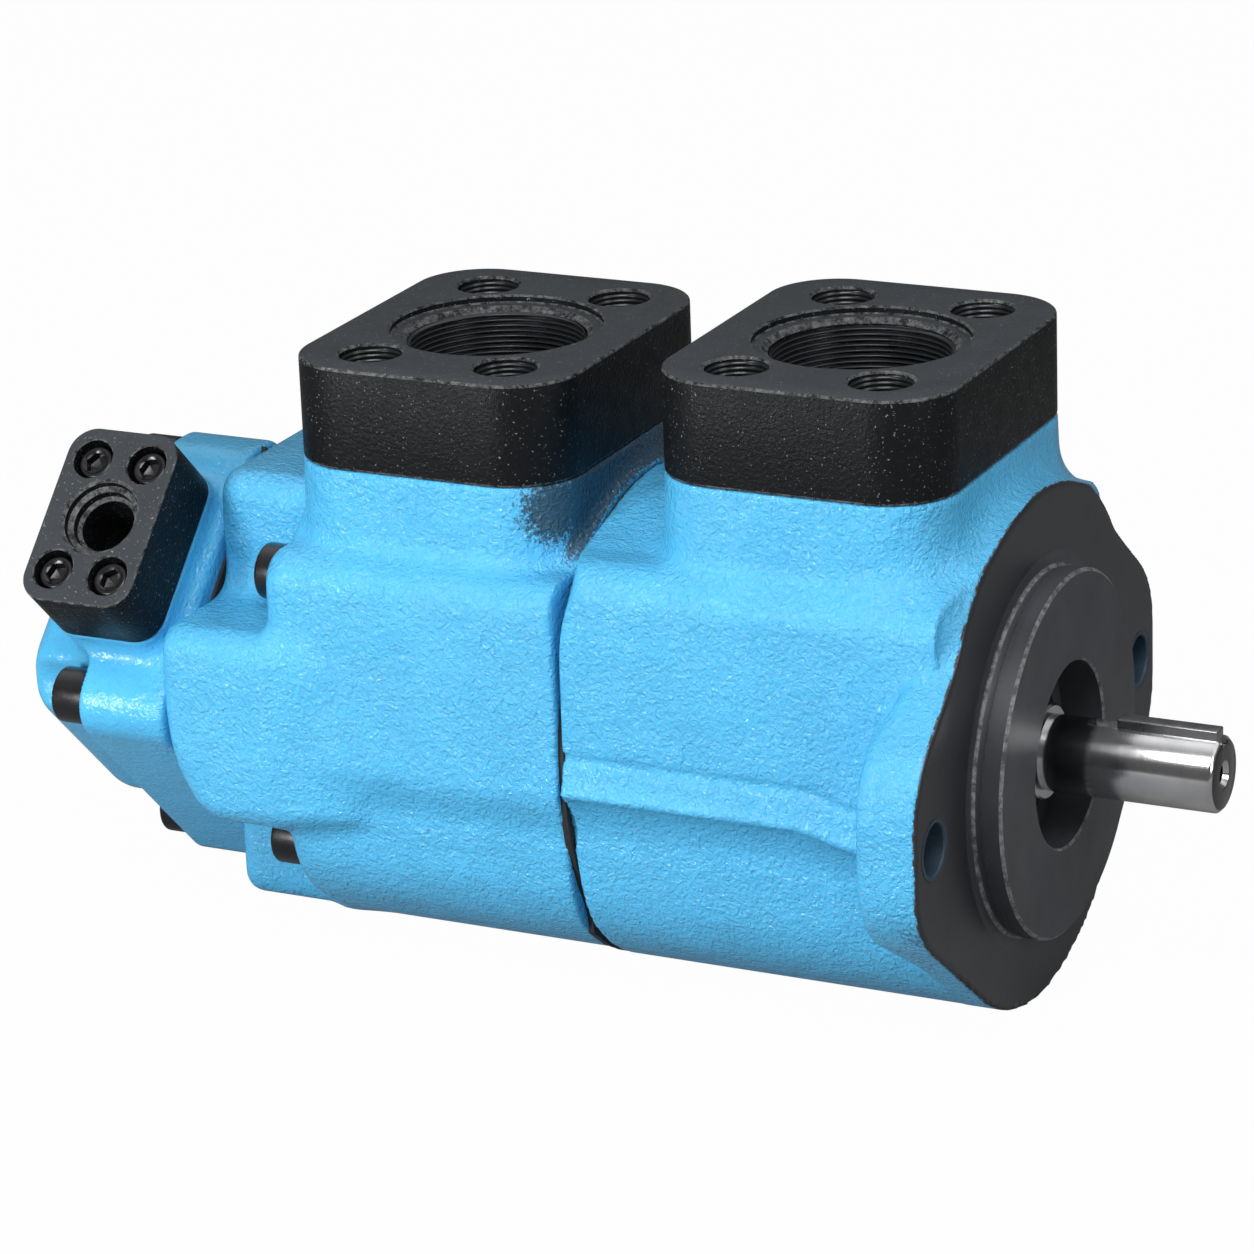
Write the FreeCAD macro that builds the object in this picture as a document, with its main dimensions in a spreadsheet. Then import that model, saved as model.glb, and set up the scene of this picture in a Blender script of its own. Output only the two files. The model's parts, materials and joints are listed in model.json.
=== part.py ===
import FreeCAD, Part
import math
import os

import Sketcher
from FreeCAD import Placement, Rotation, Vector

# Double vane pump with two suction ports on top, a keyed drive shaft and cast housings.
#
# The origin is the centre of the mounting face on the shaft axis. +X runs along the shaft towards
# its keyed end, +Z is up towards the suction ports. A depth is a distance behind the mounting
# face, so a point at depth d lies at x = -d. Sizes are in millimetres.

SIZES = [
    ("pilot_radius", 76.2, "centring spigot on the mounting face"),
    ("pilot_length", 12.7, "centring spigot"),
    ("mount_bolt_span", 228.6, "distance between the two mounting holes"),
    ("mount_hole_radius", 10.5, "mounting holes"),
    ("flange_radius", 106.7, "round part of the mounting flange"),
    ("flange_thickness", 14.0, "round part of the mounting flange"),
    ("ear_margin", 18.7, "mounting ear beyond the centre of its hole"),
    ("ear_half_height", 31.0, "straight end of a mounting ear"),
    ("ear_root", 66.0, "where the ear edge meets the round flange, across"),
    ("ear_thickness", 27.0, "mounting ear"),
    ("gusset_start", 42.0, "height at which the ear starts to thin out"),
    ("gusset_thickness", 4.0, "ear where it meets the top of the flange"),
    ("ear_edge", 6.0, "broken rear edges of the ears"),
    ("front_radius", 106.0, "front barrel"),
    ("front_half_width", 92.0, "front barrel across its flat sides"),
    ("front_waist", 86.0, "front barrel across its waist, below the flat sides"),
    ("front_shoulder", 88.0, "height of the front barrel's shoulder"),
    ("shoulder_radius", 16.0, "rounded edge of the barrel shoulders"),
    ("shoulder_gap", 16.0, "shoulder to the end of the barrel"),
    ("gasket_thickness", 0.8, "gaskets between the castings"),
    ("seat_margin", 4.25, "rear suction neck to the seat of the body bolts"),
    ("lobe_length", 48.0, "rear lobes of the middle body, along the shaft"),
    ("middle_radius", 105.5, "middle barrel"),
    ("middle_half_width", 95.0, "middle barrel across its flat sides"),
    ("middle_waist", 89.0, "middle barrel across its waist, below the flat sides"),
    ("waist_top", 12.0, "lower edge of the flat sides below the shaft axis"),
    ("waist_slope", 18.0, "height over which the barrels narrow to their waists"),
    ("middle_shoulder", 79.0, "height of the middle barrel's shoulder"),
    ("lobe_margin", 20.0, "rear lobes beyond the cover bolts"),
    ("head_clearance", 2.4, "heads of the body bolts to the lobes"),
    ("lobe_corner", 12.0, "rear lobes of the middle body"),
    ("lobe_drop", 6.0, "top lobe lower than the other lobes"),
    ("boss_length", 42.2, "rear cover up to the seats of its bolts"),
    ("tail_length", 42.0, "rear cover behind those seats"),
    ("cover_lobe", 17.0, "boss around a cover bolt"),
    ("tail_half_side", 58.0, "rear cover behind its bolt bosses"),
    ("tail_corner", 25.0, "rear cover behind its bolt bosses"),
    ("tail_edge", 9.0, "rounded rear edge of the cover"),
    ("front_neck_setback", 13.15, "front suction neck behind the mounting face"),
    ("neck_foot_height", 8.0, "flared foot of a suction neck"),
    ("neck_foot_reach", 5.0, "flared foot of a suction neck, across the shaft"),
    ("neck_foot_margin", 3.5, "flared foot of a suction neck, along the shaft"),
    ("front_pad_height", 124.4, "face under the front suction block"),
    ("rear_neck_setback", 5.05, "rear suction neck behind the parting face"),
    ("rear_pad_height", 114.2, "face under the rear suction block"),
    ("suction_length", 124.9, "suction block along the shaft"),
    ("suction_width", 157.7, "suction block across the shaft"),
    ("suction_height", 43.3, "suction block"),
    ("suction_corner", 29.0, "suction block's upright edges"),
    ("suction_thread_radius", 36.1, "suction port, crest of the pipe thread"),
    ("suction_recess_radius", 44.5, "shallow recess round the suction port"),
    ("suction_recess_depth", 3.3, "shallow recess round the suction port"),
    ("suction_bolt_across", 106.4, "suction block screws, across the shaft"),
    ("suction_bolt_along", 61.9, "suction block screws, along the shaft"),
    ("suction_head_sink", 14.0, "top of a suction screw head below the face"),
    ("front_passage_radius", 35.0, "suction passage in the front body"),
    ("rear_passage_radius", 33.0, "suction passage in the middle body"),
    ("outlet_length", 52.5, "outlet block along the shaft"),
    ("outlet_width", 81.5, "outlet block across its screws"),
    ("outlet_height", 34.0, "outlet block"),
    ("outlet_corner", 12.0, "outlet block's edges"),
    ("outlet_radius", 12.0, "outlet bore"),
    ("outlet_recess_radius", 17.2, "socket for the pipe in the outlet block"),
    ("outlet_recess_depth", 6.0, "socket for the pipe in the outlet block"),
    ("outlet_bolt_across", 52.4, "outlet block screws, long way"),
    ("outlet_bolt_along", 26.2, "outlet block screws, short way"),
    ("outlet_head_sink", 3.0, "top of an outlet screw head below the face"),
    ("rear_outlet_margin", 5.95, "rear outlet block behind the cover's front face"),
    ("rear_outlet_height", 83.8, "face under the rear outlet block"),
    ("front_outlet_setback", 17.0, "centre of the front outlet behind the front cartridge"),
    ("front_outlet_margin", 4.75, "front outlet block to the parting face"),
    ("front_outlet_height", 104.0, "face under the front outlet block"),
    ("large_screw_radius", 8.0, "M16 screws"),
    ("large_head_radius", 12.0, "M16 screw heads"),
    ("large_hole_radius", 8.75, "clearance hole for M16"),
    ("small_screw_radius", 5.0, "M10 screws"),
    ("small_head_radius", 8.0, "M10 screw heads"),
    ("small_hole_radius", 5.5, "clearance hole for M10"),
    ("counterbore_gap", 1.0, "counterbore wider than the screw head"),
    ("suction_screw_bite", 28.0, "suction screws in the casting"),
    ("outlet_screw_bite", 18.0, "outlet screws in the casting"),
    ("body_bolt_circle", 84.0, "body bolts from the shaft axis"),
    ("body_bolt_bite", 32.0, "body bolts in the front body"),
    ("cover_bolt_circle", 80.0, "cover bolts from the shaft axis"),
    ("cover_bolt_bite", 30.0, "cover bolts in the middle body"),
    ("shaft_reach", 78.2, "drive shaft beyond the mounting face"),
    ("shaft_radius", 15.875, "drive end of the shaft"),
    ("shaft_chamfer", 1.5, "drive end of the shaft"),
    ("collar_reach", 4.0, "shaft collar beyond the mounting face"),
    ("journal_radius", 20.0, "shaft under the seal and the front bearing"),
    ("shaft_shoulder_radius", 23.0, "shoulder behind the front bearing"),
    ("shaft_shoulder_width", 4.0, "shoulder behind the front bearing"),
    ("key_width", 7.94, "square key"),
    ("key_top", 19.3, "top of the key above the shaft axis"),
    ("key_start", 34.0, "inner end of the key beyond the mounting face"),
    ("keyway_start", 20.0, "inner end of the keyway beyond the mounting face"),
    ("tap_radius", 4.25, "tapped hole in the shaft end"),
    ("tap_depth", 24.0, "tapped hole in the shaft end"),
    ("throat_radius", 38.6, "opening in the centring spigot"),
    ("seal_start", 6.0, "depth of the floor of that opening"),
    ("seal_radius", 31.0, "shaft seal's seat"),
    ("seal_lead", 1.5, "floor of that opening to the seal's retaining ring"),
    ("seal_width", 10.5, "shaft seal"),
    ("clip_thickness", 2.0, "large retaining rings"),
    ("clip_height", 3.4, "retaining rings, radial height"),
    ("clip_bite", 1.3, "retaining rings in their grooves"),
    ("wall_opening_radius", 27.0, "opening between seal and bearing"),
    ("front_wall", 4.0, "wall between the shaft seal and the front bearing"),
    ("front_bearing_width", 23.0, "front bearing"),
    ("front_bearing_radius", 45.0, "front bearing, outside"),
    ("front_ball_radius", 7.5, "balls of the front bearing"),
    ("rear_bearing_gap", 32.0, "rear cartridge to the rear bearing"),
    ("rear_bearing_width", 15.0, "rear bearing"),
    ("rear_bearing_radius", 26.0, "rear bearing, outside"),
    ("rear_bearing_bore", 12.5, "rear bearing, inside"),
    ("rear_ball_radius", 4.0, "balls of the rear bearing"),
    ("race_gap", 0.05, "between ball and races"),
    ("shoulder_clearance", 1.0, "shaft shoulder to the front side plate"),
    ("front_side_plate", 14.0, "front cartridge, side plate"),
    ("front_cam_width", 40.0, "front cartridge, cam ring"),
    ("front_pressure_plate", 18.0, "front cartridge, pressure plate"),
    ("front_bore_radius", 66.0, "front body's bore round its cartridge"),
    ("front_gallery_height", 12.0, "suction gallery in the front body, radial"),
    ("front_cam_gap", 3.0, "front cam ring inside its bore"),
    ("front_cam_minor", 44.0, "front cam ring, short radius inside"),
    ("front_cam_major", 50.0, "front cam ring, long radius inside"),
    ("front_core_radius", 17.0, "front spline, root"),
    ("front_tooth_height", 2.0, "front spline tooth"),
    ("front_tooth_width", 5.0, "front spline tooth"),
    ("rear_port_lead", 34.3, "centre of the rear suction port behind the start of its cartridge"),
    ("rear_side_plate", 12.0, "rear cartridge, side plate"),
    ("rear_cam_width", 36.0, "rear cartridge, cam ring"),
    ("rear_pressure_plate", 16.0, "rear cartridge, pressure plate"),
    ("rear_bore_radius", 56.0, "middle body's bore round its cartridge"),
    ("rear_gallery_height", 14.0, "suction gallery in the middle body, radial"),
    ("rear_cam_gap", 2.5, "rear cam ring inside its bore"),
    ("rear_cam_minor", 38.0, "rear cam ring, short radius inside"),
    ("rear_cam_major", 43.0, "rear cam ring, long radius inside"),
    ("rear_core_radius", 14.5, "rear spline, root"),
    ("rear_tooth_height", 1.8, "rear spline tooth"),
    ("rear_tooth_width", 4.0, "rear spline tooth"),
    ("gallery_margin", 4.0, "suction gallery beyond the cam ring"),
    ("plate_fit", 0.03, "radial gap round a side plate"),
    ("spigot_fit", 0.05, "radial gap round a spigot"),
    ("side_gap", 0.03, "axial gap at each side of a rotor"),
    ("tip_gap", 0.4, "rotor inside the cam ring's short radius"),
    ("vane_thickness", 2.4, "vanes"),
    ("vane_gap", 0.05, "gap at each side of a vane"),
    ("vane_height", 11.0, "vanes, radial"),
    ("vane_tip_gap", 0.1, "vane tip inside the cam ring's short radius"),
    ("slot_floor_gap", 1.5, "room under a vane"),
    ("seat_radius", 16.5, "shaft in the centre bush"),
    ("bush_radius", 20.0, "centre bush, outside"),
    ("bush_length", 40.0, "centre bush"),
    ("running_gap", 0.03, "shaft in the centre bush"),
    ("shaft_clearance", 2.0, "shaft through the side plates"),
    ("bush_wall", 14.0, "wall between centre bush and discharge chamber"),
    ("spigot_wall", 10.0, "spigots round the discharge chambers"),
    ("chamber_margin", 3.0, "discharge chambers beyond their outlets"),
    ("hub_wall", 8.0, "bearing hub in the rear cover"),
    ("hub_lip", 2.0, "bearing hub beyond the bearing"),
    ("hub_relief_radius", 18.0, "room for the shaft's end in the hub"),
    ("relief_room", 20.0, "room behind the shaft's inner end"),
    ("shaft_tail", 8.0, "shaft behind the rear bearing"),
    ("ring_width", 4.0, "seal rings, width of section"),
    ("ring_height", 2.8, "seal rings, height of section"),
    ("ring_edge", 0.8, "seal rings, rounded edges of the section"),
    ("pin_radius", 3.0, "cartridge pins and screws"),
    ("pin_bite", 6.0, "cartridge pins in each plate"),
    ("edge_break", 1.0, "broken edges of machined blocks and screw heads"),
]

SPLINE_TEETH = 10
VANES = 12
FRONT_BALLS = 8
REAR_BALLS = 9
ROOT_HALF = math.sqrt(0.5)
OVERCUT = 1.0

doc = FreeCAD.newDocument("VanePump")
sheet = doc.addObject("Spreadsheet::Sheet", "Sizes")


class Size:
    """A number together with the sheet formula that gives it."""

    def __init__(self, value, text):
        self.value = value
        self.text = text

    def __add__(self, other):
        other = as_size(other)
        return Size(self.value + other.value, f"({self.text} + {other.text})")

    def __sub__(self, other):
        other = as_size(other)
        return Size(self.value - other.value, f"({self.text} - {other.text})")

    def __mul__(self, other):
        other = as_size(other)
        return Size(self.value * other.value, f"({self.text} * {other.text})")

    def __truediv__(self, other):
        other = as_size(other)
        return Size(self.value / other.value, f"({self.text} / {other.text})")

    def __rsub__(self, other):
        return as_size(other) - self

    def __neg__(self):
        return Size(-self.value, f"(-1 * {self.text})")

    __radd__ = __add__
    __rmul__ = __mul__

    def root(self):
        return Size(math.sqrt(self.value), f"sqrt({self.text})")


def as_size(number):
    """A plain number as a Size; a Size stays as it is."""
    return number if isinstance(number, Size) else Size(float(number), repr(float(number)))


class Dimensions:
    """The sheet's driving dimensions, each under its own name."""

    def __init__(self, rows):
        for row, (name, value, note) in enumerate(rows, start=1):
            sheet.set(f"A{row}", note)
            sheet.set(f"B{row}", str(value))
            sheet.setAlias(f"B{row}", name)
            setattr(self, name, Size(value, f"Sizes.{name}"))


d = Dimensions(SIZES)
doc.recompute()


# Sketches, pads and cuts

def new_body(label, placement=None):
    body = doc.addObject("PartDesign::Body", label)
    body.Label = label
    body.AllowCompound = True
    if placement is not None:
        body.Placement = placement
    return body


def origin_feature(body, role):
    return next(item for item in body.Origin.OriginFeatures if item.Role == role)


def new_sketch(body, name, role, height=0.0, tilt=0.0, spin=0.0):
    """A sketch on an origin plane, moved along its normal, tilted about X or spun about the normal."""
    height = as_size(height)
    sketch = body.newObject("Sketcher::SketchObject", name)
    sketch.AttachmentSupport = [(origin_feature(body, role), "")]
    sketch.MapMode = "FlatFace"
    turn = Rotation(Vector(1, 0, 0), tilt) * Rotation(Vector(0, 0, 1), spin)
    lean = -math.sin(math.radians(tilt))
    rise = math.cos(math.radians(tilt))
    base = Vector(0, height.value * lean, height.value * rise)
    sketch.AttachmentOffset = Placement(base, turn)
    sketch.setExpression("AttachmentOffset.Base.y", (height * lean).text)
    sketch.setExpression("AttachmentOffset.Base.z", (height * rise).text)
    return sketch


def bind(sketch, index, size):
    sketch.setExpression(f"Constraints[{index}]", size.text)


def pin_point(sketch, geometry, point, across, up):
    """Hold one point of a sketch at the given coordinates."""
    for kind, size in (("DistanceX", as_size(across)), ("DistanceY", as_size(up))):
        rule = Sketcher.Constraint(kind, -1, 1, geometry, point, size.value)
        bind(sketch, sketch.addConstraint(rule), size)


def draw_circle(sketch, across, up, radius):
    across, up, radius = as_size(across), as_size(up), as_size(radius)
    circle = Part.Circle(Vector(across.value, up.value, 0), Vector(0, 0, 1), radius.value)
    geometry = sketch.addGeometry(circle, False)
    pin_point(sketch, geometry, 3, across, up)
    bind(sketch, sketch.addConstraint(Sketcher.Constraint("Radius", geometry, radius.value)), radius)


def draw_polygon(sketch, points):
    """A closed outline of straight edges."""
    corners = [(as_size(a), as_size(b)) for a, b in points]
    places = [Vector(a.value, b.value, 0) for a, b in corners]
    lines = []
    for start, end in zip(places, places[1:] + places[:1]):
        lines.append(sketch.addGeometry(Part.LineSegment(start, end), False))
    for line, after, corner in zip(lines, lines[1:] + lines[:1], corners):
        sketch.addConstraint(Sketcher.Constraint("Coincident", line, 2, after, 1))
        pin_point(sketch, line, 1, *corner)


def draw_box(sketch, low, high, corner=None):
    """A rectangle between two corners, with rounded corners where a radius is given."""
    (left, bottom), (right, top) = [[as_size(value) for value in point] for point in (low, high)]
    if corner is None:
        draw_polygon(sketch, [(left, bottom), (right, bottom), (right, top), (left, top)])
        return
    corner = as_size(corner)
    ends = [
        ((left + corner, bottom), (right - corner, bottom)),
        ((right, bottom + corner), (right, top - corner)),
        ((right - corner, top), (left + corner, top)),
        ((left, top - corner), (left, bottom + corner)),
    ]
    centres = [
        (right - corner, bottom + corner),
        (right - corner, top - corner),
        (left + corner, top - corner),
        (left + corner, bottom + corner),
    ]
    lines = []
    for start, end in ends:
        places = [Vector(a.value, b.value, 0) for a, b in (start, end)]
        lines.append(sketch.addGeometry(Part.LineSegment(*places), False))
        pin_point(sketch, lines[-1], 1, *start)
        pin_point(sketch, lines[-1], 2, *end)
    for turn, (line, after, (a, b)) in enumerate(zip(lines, lines[1:] + lines[:1], centres)):
        circle = Part.Circle(Vector(a.value, b.value, 0), Vector(0, 0, 1), corner.value)
        start = (turn - 1) * math.pi / 2
        arc = sketch.addGeometry(Part.ArcOfCircle(circle, start, start + math.pi / 2), False)
        sketch.addConstraint(Sketcher.Constraint("Coincident", arc, 1, line, 2))
        sketch.addConstraint(Sketcher.Constraint("Coincident", arc, 2, after, 1))
        bind(sketch, sketch.addConstraint(Sketcher.Constraint("Radius", arc, corner.value)), corner)


def extrude(body, kind, name, sketch, length, reverse):
    length = as_size(length)
    feature = body.newObject(kind, name)
    feature.Profile = sketch
    feature.Length = length.value
    feature.setExpression("Length", length.text)
    feature.Reversed = reverse
    doc.recompute()
    return feature


def check_cut(body, before, name):
    if not body.Shape.Volume < before - 1e-3:
        raise RuntimeError(f"{body.Label}: {name} cuts nothing")


def slab(body, name, start, end, draw, spin=0.0):
    """Material between two depths; draw fills the sketch of its outline seen along the shaft."""
    sketch = new_sketch(body, name + "_outline", "YZ_Plane", -as_size(start), spin=spin)
    draw(sketch)
    return extrude(body, "PartDesign::Pad", name, sketch, as_size(end) - start, True)


def slab_cut(body, name, start, end, draw, spin=0.0):
    """A cut between two depths."""
    before = body.Shape.Volume
    sketch = new_sketch(body, name + "_outline", "YZ_Plane", -as_size(start), spin=spin)
    draw(sketch)
    feature = extrude(body, "PartDesign::Pocket", name, sketch, as_size(end) - start, False)
    check_cut(body, before, name)
    return feature


def tower(body, name, low, high, draw, tilt=0.0):
    """Material between two heights above the shaft axis, leaning by tilt about it."""
    sketch = new_sketch(body, name + "_outline", "XY_Plane", low, tilt=tilt)
    draw(sketch)
    return extrude(body, "PartDesign::Pad", name, sketch, as_size(high) - low, False)


def tower_cut(body, name, low, high, draw, tilt=0.0):
    """A cut from the higher height down to the lower one."""
    before = body.Shape.Volume
    sketch = new_sketch(body, name + "_outline", "XY_Plane", high, tilt=tilt)
    draw(sketch)
    feature = extrude(body, "PartDesign::Pocket", name, sketch, as_size(high) - low, False)
    check_cut(body, before, name)
    return feature


def turn(body, kind, name, points):
    """Turn an outline of (depth, radius) points about the shaft axis."""
    before = body.Shape.Volume if body.Tip else 0.0
    sketch = new_sketch(body, name + "_outline", "XY_Plane")
    draw_polygon(sketch, [(-as_size(depth), radius) for depth, radius in points])
    feature = body.newObject(kind, name)
    feature.Profile = sketch
    feature.ReferenceAxis = (sketch, ["H_Axis"])
    feature.Angle = 360
    doc.recompute()
    if kind == "PartDesign::Groove":
        check_cut(body, before, name)
    return feature


def turned(body, name, points):
    return turn(body, "PartDesign::Revolution", name, points)


def turned_cut(body, name, points):
    return turn(body, "PartDesign::Groove", name, points)


def band(start, end, inner, outer):
    """The four corners of a ring's section."""
    return [(start, inner), (start, outer), (end, outer), (end, inner)]


def repeat_round(body, features, count, name):
    """Repeat features evenly about the shaft axis."""
    pattern = body.newObject("PartDesign::PolarPattern", name)
    pattern.Originals = features
    pattern.Axis = (origin_feature(body, "X_Axis"), [""])
    pattern.Angle = 360
    pattern.Occurrences = count
    body.Tip = pattern
    doc.recompute()
    return pattern


def dress_edges(body, kind, name, size, choose):
    """Round or chamfer the edges that choose accepts."""
    base = body.Tip
    size = as_size(size)
    picked = []
    for number, edge in enumerate(base.Shape.Edges, start=1):
        if choose(edge):
            picked.append(f"Edge{number}")
    feature = body.newObject(kind, name)
    feature.Base = (base, picked)
    target = "Radius" if kind == "PartDesign::Fillet" else "Size"
    setattr(feature, target, size.value)
    feature.setExpression(target, size.text)
    doc.recompute()
    return feature


def lying_at(axis, place):
    """A test for edges that lie whole at one coordinate along an axis of the body's own frame."""
    place = as_size(place).value

    def test(edge):
        box = edge.BoundBox
        low, high = {"X": (box.XMin, box.XMax), "Z": (box.ZMin, box.ZMax)}[axis]
        return abs(low - place) < 0.01 and abs(high - place) < 0.01

    return test


def four_corners(half_a, half_b, centre_a=0.0, centre_b=0.0):
    """The corners of a rectangle round a centre."""
    corners = []
    for sign_a in (-1, 1):
        for sign_b in (-1, 1):
            corners.append((centre_a + half_a * sign_a, centre_b + half_b * sign_b))
    return corners


def circles(places, radius):
    """A drawing function for equal circles."""
    def draw(sketch):
        for across, up in places:
            draw_circle(sketch, across, up, radius)
    return draw


def boxes(*corners, corner=None):
    """A drawing function for rectangles given as (low, high) corner pairs."""
    def draw(sketch):
        for low, high in corners:
            draw_box(sketch, low, high, corner)
    return draw


def polygon(points):
    def draw(sketch):
        draw_polygon(sketch, points)
    return draw


CENTRE = [(0.0, 0.0)]
ALONG_DEPTH = Placement(Vector(), Rotation(Vector(0, 1, 0), -90))

# Depths, each from what lies in front of it

d.seal_end = d.seal_start + d.seal_lead + d.clip_thickness + d.seal_width
d.front_bearing_start = d.seal_end + d.front_wall
front_bearing_end = d.front_bearing_start + d.front_bearing_width
d.front_stack_start = front_bearing_end + d.shaft_shoulder_width + d.shoulder_clearance
front_cam_start = d.front_stack_start + d.front_side_plate
front_cam_end = front_cam_start + d.front_cam_width
front_stack_end = front_cam_end + d.front_pressure_plate
d.front_outlet_depth = front_stack_end + d.front_outlet_setback
d.front_length = d.front_outlet_depth + d.outlet_length / 2 + d.front_outlet_margin
middle_start = d.front_length + d.gasket_thickness
d.front_suction_depth = d.front_neck_setback + d.suction_length / 2
d.rear_suction_depth = middle_start + d.rear_neck_setback + d.suction_length / 2
d.rear_stack_start = d.rear_suction_depth - d.rear_port_lead
rear_cam_start = d.rear_stack_start + d.rear_side_plate
rear_cam_end = rear_cam_start + d.rear_cam_width
rear_stack_end = rear_cam_end + d.rear_pressure_plate
d.middle_seat = d.rear_suction_depth + d.suction_length / 2 + d.seat_margin
d.middle_end = d.middle_seat + d.lobe_length
cover_start = d.middle_end + d.gasket_thickness
d.cover_seat = cover_start + d.boss_length
d.cover_end = d.cover_seat + d.tail_length
d.rear_outlet_depth = cover_start + d.rear_outlet_margin + d.outlet_length / 2
d.rear_bearing_start = rear_stack_end + d.rear_bearing_gap
rear_bearing_end = d.rear_bearing_start + d.rear_bearing_width
d.shaft_end = rear_bearing_end + d.shaft_tail
front_chamber_end = d.front_outlet_depth + d.outlet_radius + d.chamber_margin
rear_chamber_end = d.rear_outlet_depth + d.outlet_radius + d.chamber_margin

# Radii, each from what it holds or fits into

d.ear_reach = d.mount_bolt_span / 2 + d.ear_margin
d.lobe_reach = d.cover_bolt_circle + d.lobe_margin
d.lobe_half_width = d.body_bolt_circle * ROOT_HALF - d.large_head_radius - d.head_clearance
d.front_gallery_radius = d.front_bore_radius + d.front_gallery_height
d.rear_gallery_radius = d.rear_bore_radius + d.rear_gallery_height
d.front_cam_radius = d.front_bore_radius - d.front_cam_gap
d.rear_cam_radius = d.rear_bore_radius - d.rear_cam_gap
d.front_tooth_top = d.front_core_radius + d.front_tooth_height
d.rear_tooth_top = d.rear_core_radius + d.rear_tooth_height
d.front_chamber_inner = d.bush_radius + d.bush_wall
d.front_chamber_outer = d.front_bore_radius - d.spigot_wall
d.rear_chamber_radius = d.rear_bore_radius - d.spigot_wall
d.rear_hub_radius = d.rear_bearing_radius + d.hub_wall
head_height = d.large_screw_radius * 2
small_head_height = d.small_screw_radius * 2

body_bolt_places = four_corners(d.body_bolt_circle * ROOT_HALF, d.body_bolt_circle * ROOT_HALF)
cover_bolt_places = [(d.cover_bolt_circle, 0.0), (-d.cover_bolt_circle, 0.0)]
cover_bolt_places += [(0.0, d.cover_bolt_circle), (0.0, -d.cover_bolt_circle)]


def suction_places(depth):
    return four_corners(d.suction_bolt_along / 2, d.suction_bolt_across / 2, -depth, 0.0)


def outlet_places(depth):
    return four_corners(d.outlet_bolt_along / 2, d.outlet_bolt_across / 2, -depth, 0.0)


def block_outline(depth, length, width, corner):
    low = (-depth - length / 2, -width / 2)
    high = (-depth + length / 2, width / 2)
    return boxes((low, high), corner=corner)


def suction_outline(depth):
    return block_outline(depth, d.suction_length, d.suction_width, d.suction_corner)


def outlet_outline(depth):
    return block_outline(depth, d.outlet_length, d.outlet_width, d.outlet_corner)


def side_strips(half_width, waist, reach):
    """The room beyond the flat sides of a barrel and beyond its narrower waist."""
    bottom = d.waist_top + d.waist_slope
    outline = [(half_width, reach), (half_width, -d.waist_top), (waist, -bottom), (waist, -reach)]
    outline += [(reach, -reach), (reach, reach)]

    def draw(sketch):
        draw_polygon(sketch, outline)
        draw_polygon(sketch, [(-across, up) for across, up in outline])
    return draw


# Castings

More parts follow.
